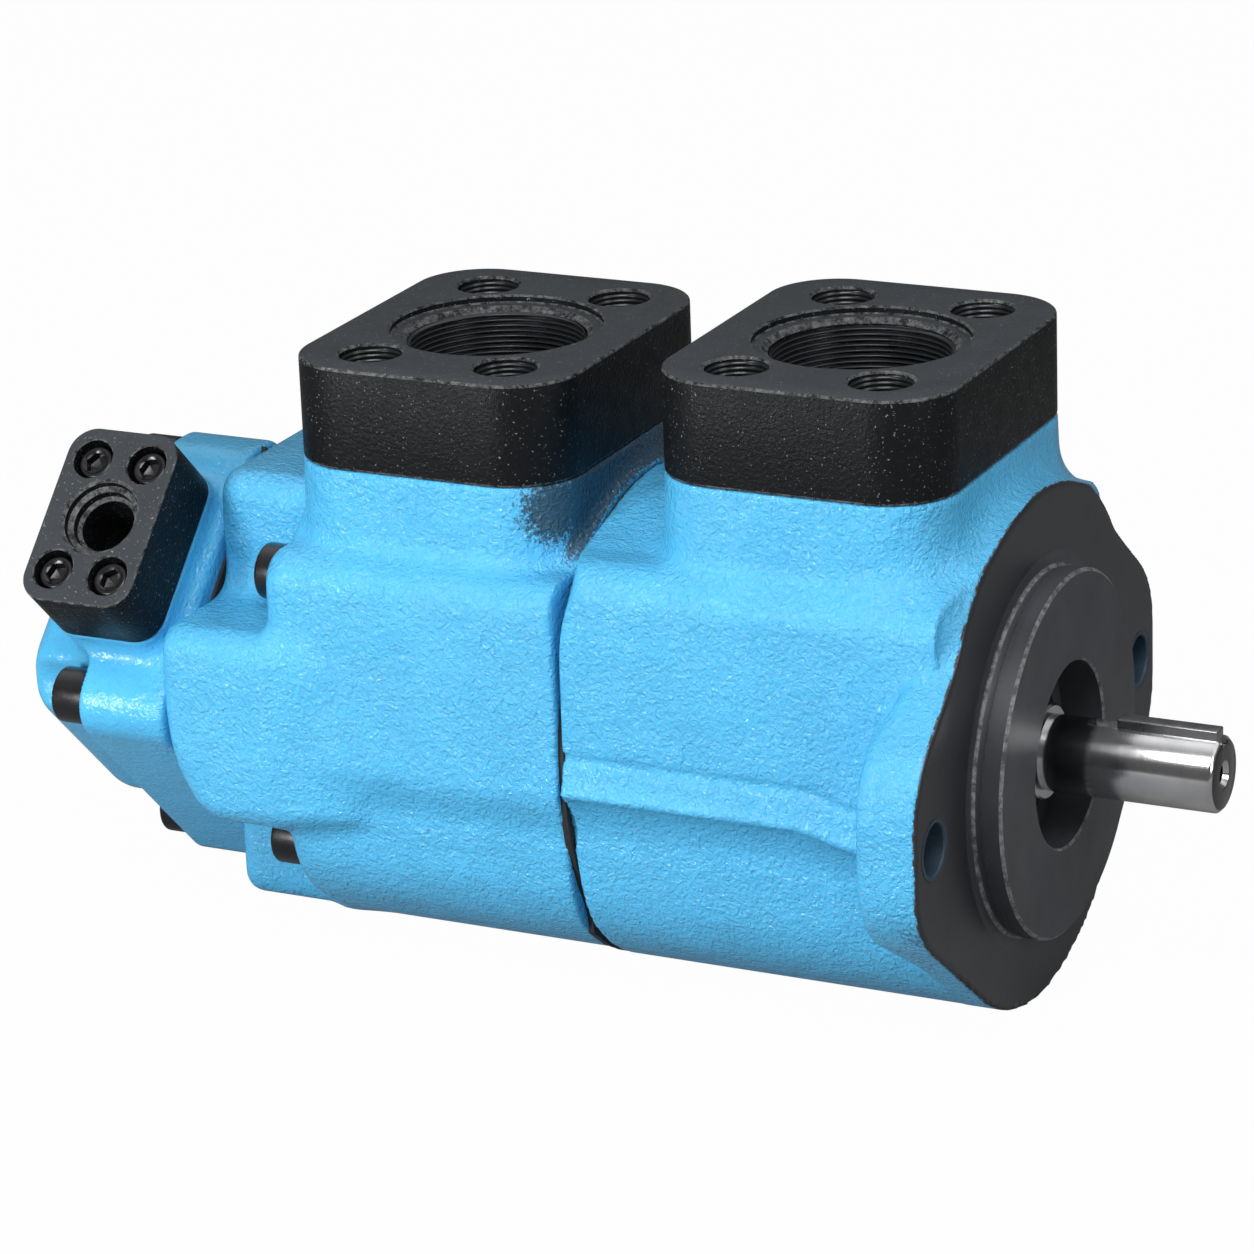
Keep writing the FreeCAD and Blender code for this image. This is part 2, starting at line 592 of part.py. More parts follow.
def front_body():
    """Mounting flange, barrel and suction neck, bored for the seal, bearing and front cartridge."""
    body = new_body("front_body")
    root_height = (d.flange_radius * d.flange_radius - d.ear_root * d.ear_root).root()
    ear = [
        (d.ear_reach, -d.ear_half_height),
        (d.ear_reach, d.ear_half_height),
        (d.ear_root, root_height),
        (-d.ear_root, root_height),
        (-d.ear_reach, d.ear_half_height),
        (-d.ear_reach, -d.ear_half_height),
        (-d.ear_root, -root_height),
        (d.ear_root, -root_height),
    ]
    slab(body, "ears", 0.0, d.ear_thickness, polygon(ear))
    dress_edges(body, "PartDesign::Chamfer", "ear_edges", d.ear_edge, lying_at("X", -d.ear_thickness))
    sketch = new_sketch(body, "gusset_outline", "XZ_Plane")
    back = -d.ear_thickness - OVERCUT
    rim = root_height + OVERCUT
    draw_polygon(sketch, [(back, d.gusset_start), (-d.gusset_thickness, rim), (back, rim)])
    draw_polygon(sketch, [(back, -d.gusset_start), (back, -rim), (-d.gusset_thickness, -rim)])
    before = body.Shape.Volume
    gusset = extrude(body, "PartDesign::Pocket", "gusset", sketch, d.ear_reach * 2 + OVERCUT, False)
    gusset.Midplane = True
    doc.recompute()
    check_cut(body, before, "gusset")
    slab(body, "flange", 0.0, d.flange_thickness, circles(CENTRE, d.flange_radius))
    slab(body, "barrel", 0.0, d.front_length, circles(CENTRE, d.front_radius))
    strips = side_strips(d.front_half_width, d.front_waist, d.ear_reach + OVERCUT)
    slab_cut(body, "flats", d.ear_thickness, d.front_length + OVERCUT, strips)
    low = (-d.front_half_width, 0.0)
    high = (d.front_half_width, d.front_shoulder)
    shoulder_end = d.front_length - d.shoulder_gap
    shoulder = boxes((low, high), corner=d.shoulder_radius)
    slab(body, "shoulder", d.flange_thickness, shoulder_end, shoulder)
    tower(body, "suction_neck", 0.0, d.front_pad_height, suction_outline(d.front_suction_depth))
    neck_foot(body, d.front_shoulder, d.front_suction_depth, d.neck_foot_reach)
    far_side = outlet_outline(d.front_outlet_depth)
    tower(body, "outlet_pad", 0.0, d.front_outlet_height, far_side, tilt=-90.0)
    slab(body, "pilot", -d.pilot_length, 0.0, circles(CENTRE, d.pilot_radius))

    mouth = -d.pilot_length - OVERCUT
    bore = [
        (mouth, 0.0),
        (mouth, d.throat_radius),
        (d.seal_start, d.throat_radius),
        (d.seal_start, d.seal_radius),
        (d.seal_end, d.seal_radius),
        (d.seal_end, d.wall_opening_radius),
        (d.front_bearing_start, d.wall_opening_radius),
        (d.front_bearing_start, d.front_bearing_radius),
        (d.front_stack_start, d.front_bearing_radius),
        (d.front_stack_start, d.front_bore_radius),
        (front_cam_start - d.gallery_margin, d.front_bore_radius),
        (front_cam_start - d.gallery_margin, d.front_gallery_radius),
        (front_cam_end + d.gallery_margin, d.front_gallery_radius),
        (front_cam_end + d.gallery_margin, d.front_bore_radius),
        (d.front_length + OVERCUT, d.front_bore_radius),
        (d.front_length + OVERCUT, 0.0),
    ]
    turned_cut(body, "bore", bore)
    clip_start = d.seal_end - d.seal_width - d.clip_thickness
    clip_groove(body, "seal_clip_groove", clip_start, d.seal_radius)
    clip_groove(body, "bearing_clip_groove", front_bearing_end, d.front_bearing_radius)
    passage = circles([(-d.front_suction_depth, 0.0)], d.front_passage_radius)
    floor = d.front_bore_radius + d.gallery_margin
    tower_cut(body, "suction_passage", floor, d.front_pad_height, passage)
    holes = circles(suction_places(d.front_suction_depth), d.large_screw_radius)
    bottom = d.front_pad_height - d.suction_screw_bite
    tower_cut(body, "suction_screw_holes", bottom, d.front_pad_height, holes)
    outlet = circles([(-d.front_outlet_depth, 0.0)], d.outlet_radius)
    inside = d.front_bore_radius - d.front_bore_radius / 10
    tower_cut(body, "outlet_passage", inside, d.front_outlet_height, outlet, tilt=-90.0)
    holes = circles(outlet_places(d.front_outlet_depth), d.small_screw_radius)
    bottom = d.front_outlet_height - d.outlet_screw_bite
    tower_cut(body, "outlet_screw_holes", bottom, d.front_outlet_height, holes, tilt=-90.0)
    mount = [(d.mount_bolt_span / 2, 0.0), (-d.mount_bolt_span / 2, 0.0)]
    slab_cut(body, "mount_holes", 0.0, d.ear_thickness + OVERCUT, circles(mount, d.mount_hole_radius))
    threads = circles(body_bolt_places, d.large_screw_radius)
    start = d.front_length - d.body_bolt_bite
    slab_cut(body, "body_bolt_holes", start, d.front_length + OVERCUT, threads)


def neck_foot(body, shoulder, depth, along):
    """The flared foot of a suction neck, between two outlines one above the other."""
    outlines = []
    low = shoulder - d.edge_break * 2
    for name, height, wider, longer in (
        ("foot_outline", low, d.neck_foot_reach, along),
        ("foot_top", low + d.neck_foot_height, 0.0, 0.0),
    ):
        sketch = new_sketch(body, name, "XY_Plane", height)
        length = d.suction_length + as_size(longer) * 2
        width = d.suction_width + as_size(wider) * 2
        block_outline(depth, length, width, d.suction_corner)(sketch)
        outlines.append(sketch)
    foot = body.newObject("PartDesign::AdditiveLoft", "neck_foot")
    foot.Profile = outlines[0]
    foot.Sections = outlines[1:]
    foot.Ruled = True
    doc.recompute()


def clip_groove(body, name, start, radius):
    """A groove for a retaining ring in the wall of a bore."""
    groove = band(start, start + d.clip_thickness, radius - d.clip_bite, radius + d.clip_bite)
    turned_cut(body, name, groove)


def middle_body():
    """Barrel with a suction neck, a spigot towards the front body and four lobes at the rear."""
    body = new_body("middle_body")
    slab(body, "barrel", middle_start, d.middle_seat, circles(CENTRE, d.middle_radius))
    strips = side_strips(d.middle_half_width, d.middle_waist, d.middle_radius + OVERCUT)
    slab_cut(body, "flats", middle_start - OVERCUT, d.middle_seat + OVERCUT, strips)
    low = (-d.middle_half_width, 0.0)
    high = (d.middle_half_width, d.middle_shoulder)
    shoulder = boxes((low, high), corner=d.shoulder_radius)
    slab(body, "shoulder", middle_start + d.shoulder_gap, d.middle_seat, shoulder)
    neck = suction_outline(d.rear_suction_depth)
    tower_cut(body, "neck_room", 0.0, d.middle_radius + OVERCUT, neck)
    tower(body, "suction_neck", 0.0, d.rear_pad_height, neck)
    neck_foot(body, d.middle_shoulder, d.rear_suction_depth, d.neck_foot_margin)
    flat = ((-d.lobe_reach, -d.lobe_half_width), (d.lobe_reach, d.lobe_half_width))
    upright = ((-d.lobe_half_width, -d.lobe_reach), (d.lobe_half_width, d.lobe_reach - d.lobe_drop))
    overlap = d.middle_seat - d.lobe_corner
    slab(body, "side_lobes", overlap, d.middle_end, boxes(flat, corner=d.lobe_corner))
    slab(body, "upright_lobes", overlap, d.middle_end, boxes(upright, corner=d.lobe_corner))
    spigot = circles(CENTRE, d.front_bore_radius - d.spigot_fit)
    slab(body, "spigot", front_stack_end, middle_start, spigot)

    near = front_stack_end - OVERCUT
    far = d.middle_end + OVERCUT
    bore = [
        (near, 0.0),
        (near, d.bush_radius),
        (d.rear_stack_start, d.bush_radius),
        (d.rear_stack_start, d.rear_bore_radius),
        (rear_cam_start - d.gallery_margin, d.rear_bore_radius),
        (rear_cam_start - d.gallery_margin, d.rear_gallery_radius),
        (rear_cam_end + d.gallery_margin, d.rear_gallery_radius),
        (rear_cam_end + d.gallery_margin, d.rear_bore_radius),
        (far, d.rear_bore_radius),
        (far, 0.0),
    ]
    turned_cut(body, "bore", bore)
    chamber = band(near, front_chamber_end, d.front_chamber_inner, d.front_chamber_outer)
    turned_cut(body, "discharge_chamber", chamber)
    face_seal = plate_seal_band(front_stack_end, d.front_chamber_outer, d.front_bore_radius)
    turned_cut(body, "face_seal_groove", open_band(face_seal))
    turned_cut(body, "spigot_ring_groove", ring_groove(spigot_ring_start, d.front_bore_radius))
    passage = circles([(-d.rear_suction_depth, 0.0)], d.rear_passage_radius)
    floor = d.rear_bore_radius + d.gallery_margin
    tower_cut(body, "suction_passage", floor, d.rear_pad_height, passage)
    holes = circles(suction_places(d.rear_suction_depth), d.large_screw_radius)
    bottom = d.rear_pad_height - d.suction_screw_bite
    tower_cut(body, "suction_screw_holes", bottom, d.rear_pad_height, holes)
    outlet = circles([(-d.front_outlet_depth, 0.0)], d.outlet_radius)
    inside = (d.front_chamber_inner + d.front_chamber_outer) / 2
    tower_cut(body, "outlet_passage", inside, d.front_bore_radius + OVERCUT, outlet, tilt=-90.0)
    holes = circles(body_bolt_places, d.large_hole_radius)
    slab_cut(body, "body_bolt_holes", middle_start - OVERCUT, d.middle_seat + OVERCUT, holes)
    threads = circles(cover_bolt_places, d.large_screw_radius)
    slab_cut(body, "cover_bolt_holes", d.middle_end - d.cover_bolt_bite, far, threads)


def plate_seal_band(face, inner, outer):
    """Section of the seal ring between a pressure plate and the face behind it."""
    middle = (inner + outer) / 2
    return band(face, face + d.ring_height, middle - d.ring_width / 2, middle + d.ring_width / 2)


def open_band(section):
    """The same section, cut open towards the front."""
    (start, inner), (_, outer), (end, _), _ = section
    return band(start - OVERCUT, end, inner, outer)


def ring_section(start, radius):
    """Section of a seal ring in the outside of a spigot whose bore has this radius."""
    return band(start, start + d.ring_width, radius - d.ring_height, radius)


def ring_groove(start, radius):
    return band(start, start + d.ring_width, radius - d.ring_height, radius + OVERCUT)


spigot_ring_start = d.front_length - d.ring_width * 3
cover_ring_start = d.middle_end - d.ring_width * 3


def rear_cover():
    """Cover with four bolt bosses, a bearing hub, a discharge chamber and a slanted outlet pad."""
    body = new_body("rear_cover")
    half = d.cover_bolt_circle * ROOT_HALF + d.cover_lobe
    square = boxes(((-half, -half), (half, half)), corner=d.cover_lobe)
    slab(body, "bosses", cover_start, d.cover_seat, square, spin=45.0)
    half = d.tail_half_side
    tail = boxes(((-half, -half), (half, half)), corner=d.tail_corner)
    slab(body, "tail", d.cover_seat - d.cover_lobe, d.cover_end, tail, spin=45.0)
    dress_edges(body, "PartDesign::Fillet", "tail_rounding", d.tail_edge, lying_at("X", -d.cover_end))
    pad = outlet_outline(d.rear_outlet_depth)
    tower(body, "outlet_pad", 0.0, d.rear_outlet_height, pad, tilt=45.0)
    slab(body, "spigot", rear_stack_end, cover_start, circles(CENTRE, d.rear_bore_radius - d.spigot_fit))

    pockets = circles(cover_bolt_places, d.large_head_radius + d.counterbore_gap)
    slab_cut(body, "head_pockets", d.cover_seat, d.cover_end + OVERCUT, pockets)
    mouth = rear_stack_end - OVERCUT
    bore = [
        (mouth, 0.0),
        (mouth, d.rear_chamber_radius),
        (rear_chamber_end, d.rear_chamber_radius),
        (rear_chamber_end, d.rear_hub_radius),
        (d.rear_bearing_start - d.hub_lip, d.rear_hub_radius),
        (d.rear_bearing_start - d.hub_lip, d.rear_bearing_radius),
        (rear_bearing_end, d.rear_bearing_radius),
        (rear_bearing_end, d.hub_relief_radius),
        (d.shaft_end + d.relief_room, d.hub_relief_radius),
        (d.shaft_end + d.relief_room, 0.0),
    ]
    turned_cut(body, "chamber_and_hub", bore)
    face_seal = plate_seal_band(rear_stack_end, d.rear_chamber_radius, d.rear_bore_radius)
    turned_cut(body, "face_seal_groove", open_band(face_seal))
    turned_cut(body, "spigot_ring_groove", ring_groove(cover_ring_start, d.rear_bore_radius))
    outlet = circles([(-d.rear_outlet_depth, 0.0)], d.outlet_radius)
    inside = (d.rear_hub_radius + d.rear_chamber_radius) / 2
    tower_cut(body, "outlet_passage", inside, d.rear_outlet_height, outlet, tilt=45.0)
    holes = circles(outlet_places(d.rear_outlet_depth), d.small_screw_radius)
    bottom = d.rear_outlet_height - d.outlet_screw_bite
    tower_cut(body, "outlet_screw_holes", bottom, d.rear_outlet_height, holes, tilt=45.0)
    holes = circles(cover_bolt_places, d.large_hole_radius)
    slab_cut(body, "cover_bolt_holes", cover_start - OVERCUT, d.cover_seat + OVERCUT, holes)


def gaskets():
    """Thin gaskets between the castings."""
    body = new_body("body_gasket")
    edge = d.middle_radius - d.edge_break * 2
    slab(body, "sheet_disc", d.front_length, middle_start, circles(CENTRE, edge))
    inset = d.edge_break * 2
    strips = side_strips(d.front_half_width - inset, d.front_waist - inset, d.middle_radius)
    slab_cut(body, "flats", d.front_length - OVERCUT, middle_start + OVERCUT, strips)
    opening = circles(CENTRE, d.front_bore_radius)
    slab_cut(body, "opening", d.front_length - OVERCUT, middle_start + OVERCUT, opening)
    holes = circles(body_bolt_places, d.large_hole_radius)
    slab_cut(body, "holes", d.front_length - OVERCUT, middle_start + OVERCUT, holes)

    body = new_body("cover_gasket")
    rim = d.cover_bolt_circle - d.large_hole_radius - d.edge_break
    turned(body, "ring", band(d.middle_end, cover_start, d.rear_bore_radius, rim))


# Port blocks and screws

def port_block(label, depth, base, size, ports, screws, placement):
    """A block on a port pad: recess, bore, counterbored screw holes and a ring groove below."""
    height, outline = size
    bore, recess, recess_depth = ports
    places, hole, head, head_depth = screws
    top = base + height
    body = new_body(label, placement)
    tower(body, "block", base, top, outline)
    tower_cut(body, "recess", top - recess_depth, top, circles([(-depth, 0.0)], recess))
    tower_cut(body, "port", base - OVERCUT, top, circles([(-depth, 0.0)], bore))
    tower_cut(body, "counterbores", top - head_depth, top, circles(places, head))
    tower_cut(body, "screw_holes", base - OVERCUT, top, circles(places, hole))
    ring = block_ring(bore)

    def draw_ring(sketch):
        draw_circle(sketch, -depth, 0.0, ring)
        draw_circle(sketch, -depth, 0.0, ring + d.ring_width)

    sketch = new_sketch(body, "ring_groove_outline", "XY_Plane", base)
    draw_ring(sketch)
    before = body.Shape.Volume
    extrude(body, "PartDesign::Pocket", "ring_groove", sketch, d.ring_height, True)
    check_cut(body, before, "ring_groove")
    dress_edges(body, "PartDesign::Chamfer", "broken_edges", d.edge_break, lying_at("Z", top))

    seal = new_body(label.replace("block", "oring"), placement)
    tower(seal, "ring", base, base + d.ring_height, draw_ring)
    soften_ring(seal)


def block_ring(bore):
    """Inner radius of the seal ring round a port."""
    return bore + d.ring_width


def soften_ring(body):
    """Round the edges of a seal ring."""
    dress_edges(body, "PartDesign::Chamfer", "soft_edges", d.ring_edge, lambda edge: True)


def screw_group(label, places, seat, radius, head_radius, shank, placement=None):
    """Socket-head screws along the body's own Z, heads up, as separate solids in one node."""
    body = new_body(label, placement)
    height = radius * 2
    tower(body, "heads", seat, seat + height, circles(places, head_radius))
    dress_edges(body, "PartDesign::Chamfer", "head_edges", d.edge_break, lying_at("Z", seat + height))
    across = radius * 0.87

    def draw_sockets(sketch):
        for a, b in places:
            corners = []
            for step in range(6):
                angle = math.radians(60 * step)
                corners.append((a + across * math.cos(angle), b + across * math.sin(angle)))
            draw_polygon(sketch, corners)

    tower_cut(body, "sockets", seat + height - radius, seat + height, draw_sockets)
    tower(body, "shanks", seat - shank, seat, circles(places, radius))


def port_blocks_and_screws():
    sites = [
        ("front_suction", d.front_suction_depth, d.front_pad_height),
        ("rear_suction", d.rear_suction_depth, d.rear_pad_height),
    ]
    sink = d.suction_head_sink + head_height
    for name, depth, base in sites:
        ports = (d.suction_thread_radius, d.suction_recess_radius, d.suction_recess_depth)
        places = suction_places(depth)
        head = d.large_head_radius + d.counterbore_gap
        screws = (places, d.large_hole_radius, head, sink)
        size = (d.suction_height, suction_outline(depth))
        port_block(name + "_block", depth, base, size, ports, screws, Placement())
        seat = base + d.suction_height - sink
        shank = d.suction_height - sink + d.suction_screw_bite - d.edge_break
        screw_group(name + "_screws", places, seat, d.large_screw_radius, d.large_head_radius, shank)
    sites = [
        ("rear_outlet", d.rear_outlet_depth, d.rear_outlet_height, 45.0),
        ("front_outlet", d.front_outlet_depth, d.front_outlet_height, -90.0),
    ]
    sink = d.outlet_head_sink + small_head_height
    radius, head_radius = d.small_screw_radius, d.small_head_radius
    for name, depth, base, tilt in sites:
        ports = (d.outlet_radius, d.outlet_recess_radius, d.outlet_recess_depth)
        places = outlet_places(depth)
        head = head_radius + d.counterbore_gap
        screws = (places, d.small_hole_radius, head, sink)
        size = (d.outlet_height, outlet_outline(depth))
        placement = Placement(Vector(), Rotation(Vector(1, 0, 0), tilt))
        port_block(name + "_block", depth, base, size, ports, screws, placement)
        seat = base + d.outlet_height - sink
        shank = d.outlet_height - sink + d.outlet_screw_bite - d.edge_break
        screw_group(name + "_screws", places, seat, radius, head_radius, shank, placement)


def housing_bolts():
    """Long bolts through the middle body and short ones through the cover, heads to the rear."""
    shank = d.middle_seat - d.front_length + d.body_bolt_bite - d.edge_break
    radius, head = d.large_screw_radius, d.large_head_radius
    screw_group("body_bolts", body_bolt_places, d.middle_seat, radius, head, shank, ALONG_DEPTH)
    shank = d.cover_seat - d.middle_end + d.cover_bolt_bite - d.edge_break
    screw_group("cover_bolts", cover_bolt_places, d.cover_seat, radius, head, shank, ALONG_DEPTH)


# Shaft and bearings

rear_end_radius = d.rear_bearing_bore + d.clip_bite
small_clip = d.clip_thickness * 0.6


def drive_shaft():
    """Keyed drive end, seal and bearing journals, two splines and the seat in the centre bush."""
    body = new_body("drive_shaft")
    tip = -d.shaft_reach
    clip_start = d.front_bearing_start - d.clip_thickness
    outline = [
        (tip, 0.0),
        (tip, d.shaft_radius - d.shaft_chamfer),
        (tip + d.shaft_chamfer, d.shaft_radius),
        (-d.collar_reach, d.shaft_radius),
        (-d.collar_reach, d.journal_radius - d.edge_break),
        (-d.collar_reach + d.edge_break, d.journal_radius),
        (clip_start, d.journal_radius),
        (clip_start, d.journal_radius - d.clip_bite),
        (d.front_bearing_start, d.journal_radius - d.clip_bite),
        (d.front_bearing_start, d.journal_radius),
        (front_bearing_end, d.journal_radius),
        (front_bearing_end, d.shaft_shoulder_radius),
        (front_bearing_end + d.shaft_shoulder_width, d.shaft_shoulder_radius),
        (front_bearing_end + d.shaft_shoulder_width, d.front_core_radius),
        (front_stack_end, d.front_core_radius),
        (front_stack_end, d.seat_radius),
        (d.rear_stack_start, d.seat_radius),
        (d.rear_stack_start, d.rear_core_radius),
        (rear_stack_end, d.rear_core_radius),
        (rear_stack_end, rear_end_radius),
        (d.rear_bearing_start, rear_end_radius),
        (d.rear_bearing_start, d.rear_bearing_bore),
        (rear_bearing_end, d.rear_bearing_bore),
        (rear_bearing_end, d.rear_bearing_bore - d.edge_break),
        (rear_bearing_end + small_clip, d.rear_bearing_bore - d.edge_break),
        (rear_bearing_end + small_clip, d.rear_bearing_bore),
        (d.shaft_end - d.edge_break, d.rear_bearing_bore),
        (d.shaft_end, d.rear_bearing_bore - d.edge_break),
        (d.shaft_end, 0.0),
    ]
    turned(body, "shaft", outline)
    tooth = spline_tooth(d.front_tooth_width, d.front_core_radius / 2, d.front_tooth_top)
    margin = d.gallery_margin
    front = slab(body, "front_tooth", front_cam_start - margin, front_cam_end + margin, tooth)
    repeat_round(body, [front], SPLINE_TEETH, "front_spline")
    tooth = spline_tooth(d.rear_tooth_width, d.rear_core_radius / 2, d.rear_tooth_top)
    rear = slab(body, "rear_tooth", rear_cam_start - margin, rear_cam_end + margin, tooth)
    repeat_round(body, [rear], SPLINE_TEETH, "rear_spline")
    low = (d.keyway_start, -d.key_width / 2)
    high = (d.shaft_reach + OVERCUT, d.key_width / 2)
    tower_cut(body, "keyway", key_floor(), d.journal_radius, boxes((low, high)))
    slab_cut(body, "tapped_hole", tip, tip + d.tap_depth, circles(CENTRE, d.tap_radius))


def spline_tooth(width, low, top):
    return boxes(((-width / 2, low), (width / 2, top)))


def key_floor():
    return d.key_top - d.key_width


def shaft_key():
    """Square key, flush with the end of the shaft's chamfer."""
    body = new_body("shaft_key")
    low = (d.key_start, -d.key_width / 2)
    high = (d.shaft_reach - d.shaft_chamfer, d.key_width / 2)
    tower(body, "key", key_floor(), d.key_top, boxes((low, high)))
    dress_edges(body, "PartDesign::Chamfer", "key_edges", d.edge_break / 2, lying_at("Z", d.key_top))


def shaft_seal():
    """Metal-cased lip seal with a conical front, and the ring that holds it."""
    body = new_body("shaft_seal")
    start = d.seal_end - d.seal_width
    lip = d.journal_radius + d.race_gap
    wall = d.ring_width
    outline = [
        (start, d.seal_radius),
        (start, d.seal_radius - wall),
        (start + wall, lip + wall),
        (start + wall, lip),
        (start + wall * 2, lip),
        (start + wall * 2, lip + wall),
        (d.seal_end, lip + wall * 1.5),
        (d.seal_end, d.seal_radius),
    ]
    turned(body, "seal", outline)
    bore_clip("seal_retaining_ring", start - d.clip_thickness, d.seal_radius, d.clip_thickness)


def bore_clip(label, start, radius, thickness):
    """Retaining ring in a bore, open at the top, with its two lugs."""
    body = new_body(label)
    end = start + thickness
    turned(body, "ring", band(start, end, radius + d.clip_bite - d.clip_height, radius + d.clip_bite))
    gap = d.clip_height
    slot = boxes(((-gap / 2, 0.0), (gap / 2, radius + d.clip_height)))
    slab_cut(body, "gap", start - OVERCUT, end + OVERCUT, slot)
    inner = radius + d.clip_bite - d.clip_height
    places = [(gap * 1.2, inner - d.clip_bite), (-gap * 1.2, inner - d.clip_bite)]
    slab(body, "lugs", start, end, circles(places, gap * 0.7))


def shaft_clip(label, start, radius, thickness):
    """Retaining ring on the shaft, open at the top."""
    body = new_body(label)
    end = start + thickness
    turned(body, "ring", band(start, end, radius, radius + d.clip_height))
    gap = d.clip_height
    slot = boxes(((-gap / 2, 0.0), (gap / 2, radius + d.clip_height * 2)))
    slab_cut(body, "gap", start - OVERCUT, end + OVERCUT, slot)


def ball_bearing(name, start, width, bore, outside, ball_radius, count):
    """Deep-groove ball bearing as four nodes: outer race, inner race, balls and cage."""
    end = start + width
    centre = start + width / 2
    pitch = (bore + outside) / 2
    groove = ball_radius + d.race_gap
    land = ball_radius * 0.6

    def raceway(body):
        before = body.Shape.Volume
        sketch = new_sketch(body, "raceway_outline", "XY_Plane")
        draw_circle(sketch, -centre, pitch, groove)
        feature = body.newObject("PartDesign::Groove", "raceway")
        feature.Profile = sketch
        feature.ReferenceAxis = (sketch, ["H_Axis"])
        feature.Angle = 360
        doc.recompute()
        check_cut(body, before, "raceway")

    outer = new_body(name + "_outer_race")
    turned(outer, "race", band(start, end, pitch + land, outside))
    raceway(outer)
    inner = new_body(name + "_inner_race")
    turned(inner, "race", band(start, end, bore, pitch - land))
    raceway(inner)

    balls = new_body(name + "_balls")
    ball = add_sphere(balls, "ball", centre, pitch, ball_radius)
    repeat_round(balls, [ball], count, "ball_row")

    cage = new_body(name + "_cage")
    half = ball_radius * 1.15
    strip = ball_radius * 0.25
    turned(cage, "strip", band(centre - half, centre + half, pitch - strip, pitch + strip))
    sphere = add_sphere(cage, "seat", centre, pitch, groove, "PartDesign::SubtractiveSphere")
    repeat_round(cage, [sphere], count, "seats")


def add_sphere(body, name, depth, height, radius, kind="PartDesign::AdditiveSphere"):
    """A sphere at this depth, this high above the shaft axis."""
    sphere = body.newObject(kind, name)
    sphere.AttachmentSupport = [(origin_feature(body, "XY_Plane"), "")]
    sphere.MapMode = "FlatFace"
    sphere.AttachmentOffset = Placement(Vector(-depth.value, 0, height.value), Rotation())
    sphere.setExpression("AttachmentOffset.Base.x", (-depth).text)
    sphere.setExpression("AttachmentOffset.Base.z", height.text)
    sphere.Radius = radius.value
    sphere.setExpression("Radius", radius.text)
    doc.recompute()
    return sphere


def centre_bush():
    """Plain bush that carries the shaft between the two pumps."""
    body = new_body("centre_bush")
    start = d.rear_stack_start - d.shoulder_gap - d.bush_length
    inner = d.seat_radius + d.running_gap
    turned(body, "bush", band(start, start + d.bush_length, inner, d.bush_radius))


# Cartridges

def cartridge(name, start, widths, radii, spline):
    """Side plate, cam ring, rotor, vanes, pressure plate, pins and screws of one pump."""
    side_plate, cam_width, pressure_plate = widths
    bore, cam_outside, cam_minor, cam_major = radii
    core, tooth_top, tooth_width = spline
    cam_start = start + side_plate
    cam_end = cam_start + cam_width
    end = cam_end + pressure_plate
    plate_radius = bore - d.plate_fit
    opening = tooth_top + d.shaft_clearance
    pin_circle = (cam_major + cam_outside) / 2
    pins = [(0.0, pin_circle), (0.0, -pin_circle)]
    screws = [(pin_circle, 0.0), (-pin_circle, 0.0)]
    head_radius = d.pin_radius * 1.6
    head_seat = cam_end + pressure_plate / 2

    body = new_body(name + "_side_plate")
    turned(body, "plate", band(start, cam_start, opening, plate_radius))
    holes = circles(pins + screws, d.pin_radius)
    slab_cut(body, "pin_holes", cam_start - d.pin_bite, cam_start + OVERCUT, holes)

    body = new_body(name + "_pressure_plate")
    turned(body, "plate", band(cam_end, end, opening, plate_radius))
    slab_cut(body, "pin_holes", cam_end - OVERCUT, cam_end + d.pin_bite, circles(pins, d.pin_radius))
    slab_cut(body, "screw_holes", cam_end - OVERCUT, end + OVERCUT, circles(screws, d.pin_radius))
    slab_cut(body, "head_seats", head_seat, end + OVERCUT, circles(screws, head_radius))
    place = (cam_minor + cam_major) / 2 * ROOT_HALF
    port = circles([(place, place)], d.pin_radius)
    ports = slab_cut(body, "discharge_port", cam_end - OVERCUT, end + OVERCUT, port)
    repeat_round(body, [ports], 4, "discharge_ports")

    cam_ring(name + "_cam_ring", cam_start, cam_end, cam_outside, cam_minor, cam_major, pins + screws)

    rotor_radius = cam_minor - d.tip_gap
    rotor_start = cam_start + d.side_gap
    rotor_end = cam_end - d.side_gap
    vane_top = cam_minor - d.vane_tip_gap
    vane_low = vane_top - d.vane_height
    body = new_body(name + "_rotor")
    turned(body, "rotor", band(rotor_start, rotor_end, core, rotor_radius))
    tooth = spline_tooth(tooth_width, core / 2, tooth_top)
    tooth = slab_cut(body, "spline_slot", rotor_start - OVERCUT, rotor_end + OVERCUT, tooth)
    repeat_round(body, [tooth], SPLINE_TEETH, "spline_slots")
    half = d.vane_thickness / 2
    slot = boxes(((-half - d.vane_gap, vane_low - d.slot_floor_gap), (half + d.vane_gap, cam_minor)))
    cut = slab_cut(body, "vane_slot", rotor_start - OVERCUT, rotor_end + OVERCUT, slot)
    repeat_round(body, [cut], VANES, "vane_slots")

    body = new_body(name + "_vanes")
    blade = slab(body, "vane", rotor_start, rotor_end, boxes(((-half, vane_low), (half, vane_top))))
    repeat_round(body, [blade], VANES, "vane_row")

    body = new_body(name + "_cartridge_pins")
    slab(body, "pins", cam_start - d.pin_bite, cam_end + d.pin_bite, circles(pins, d.pin_radius))

    places = [(up, across) for across, up in screws]
    shank = head_seat - cam_start + d.pin_bite
    screw_group(name + "_cartridge_screws", places, head_seat, d.pin_radius, head_radius, shank, ALONG_DEPTH)


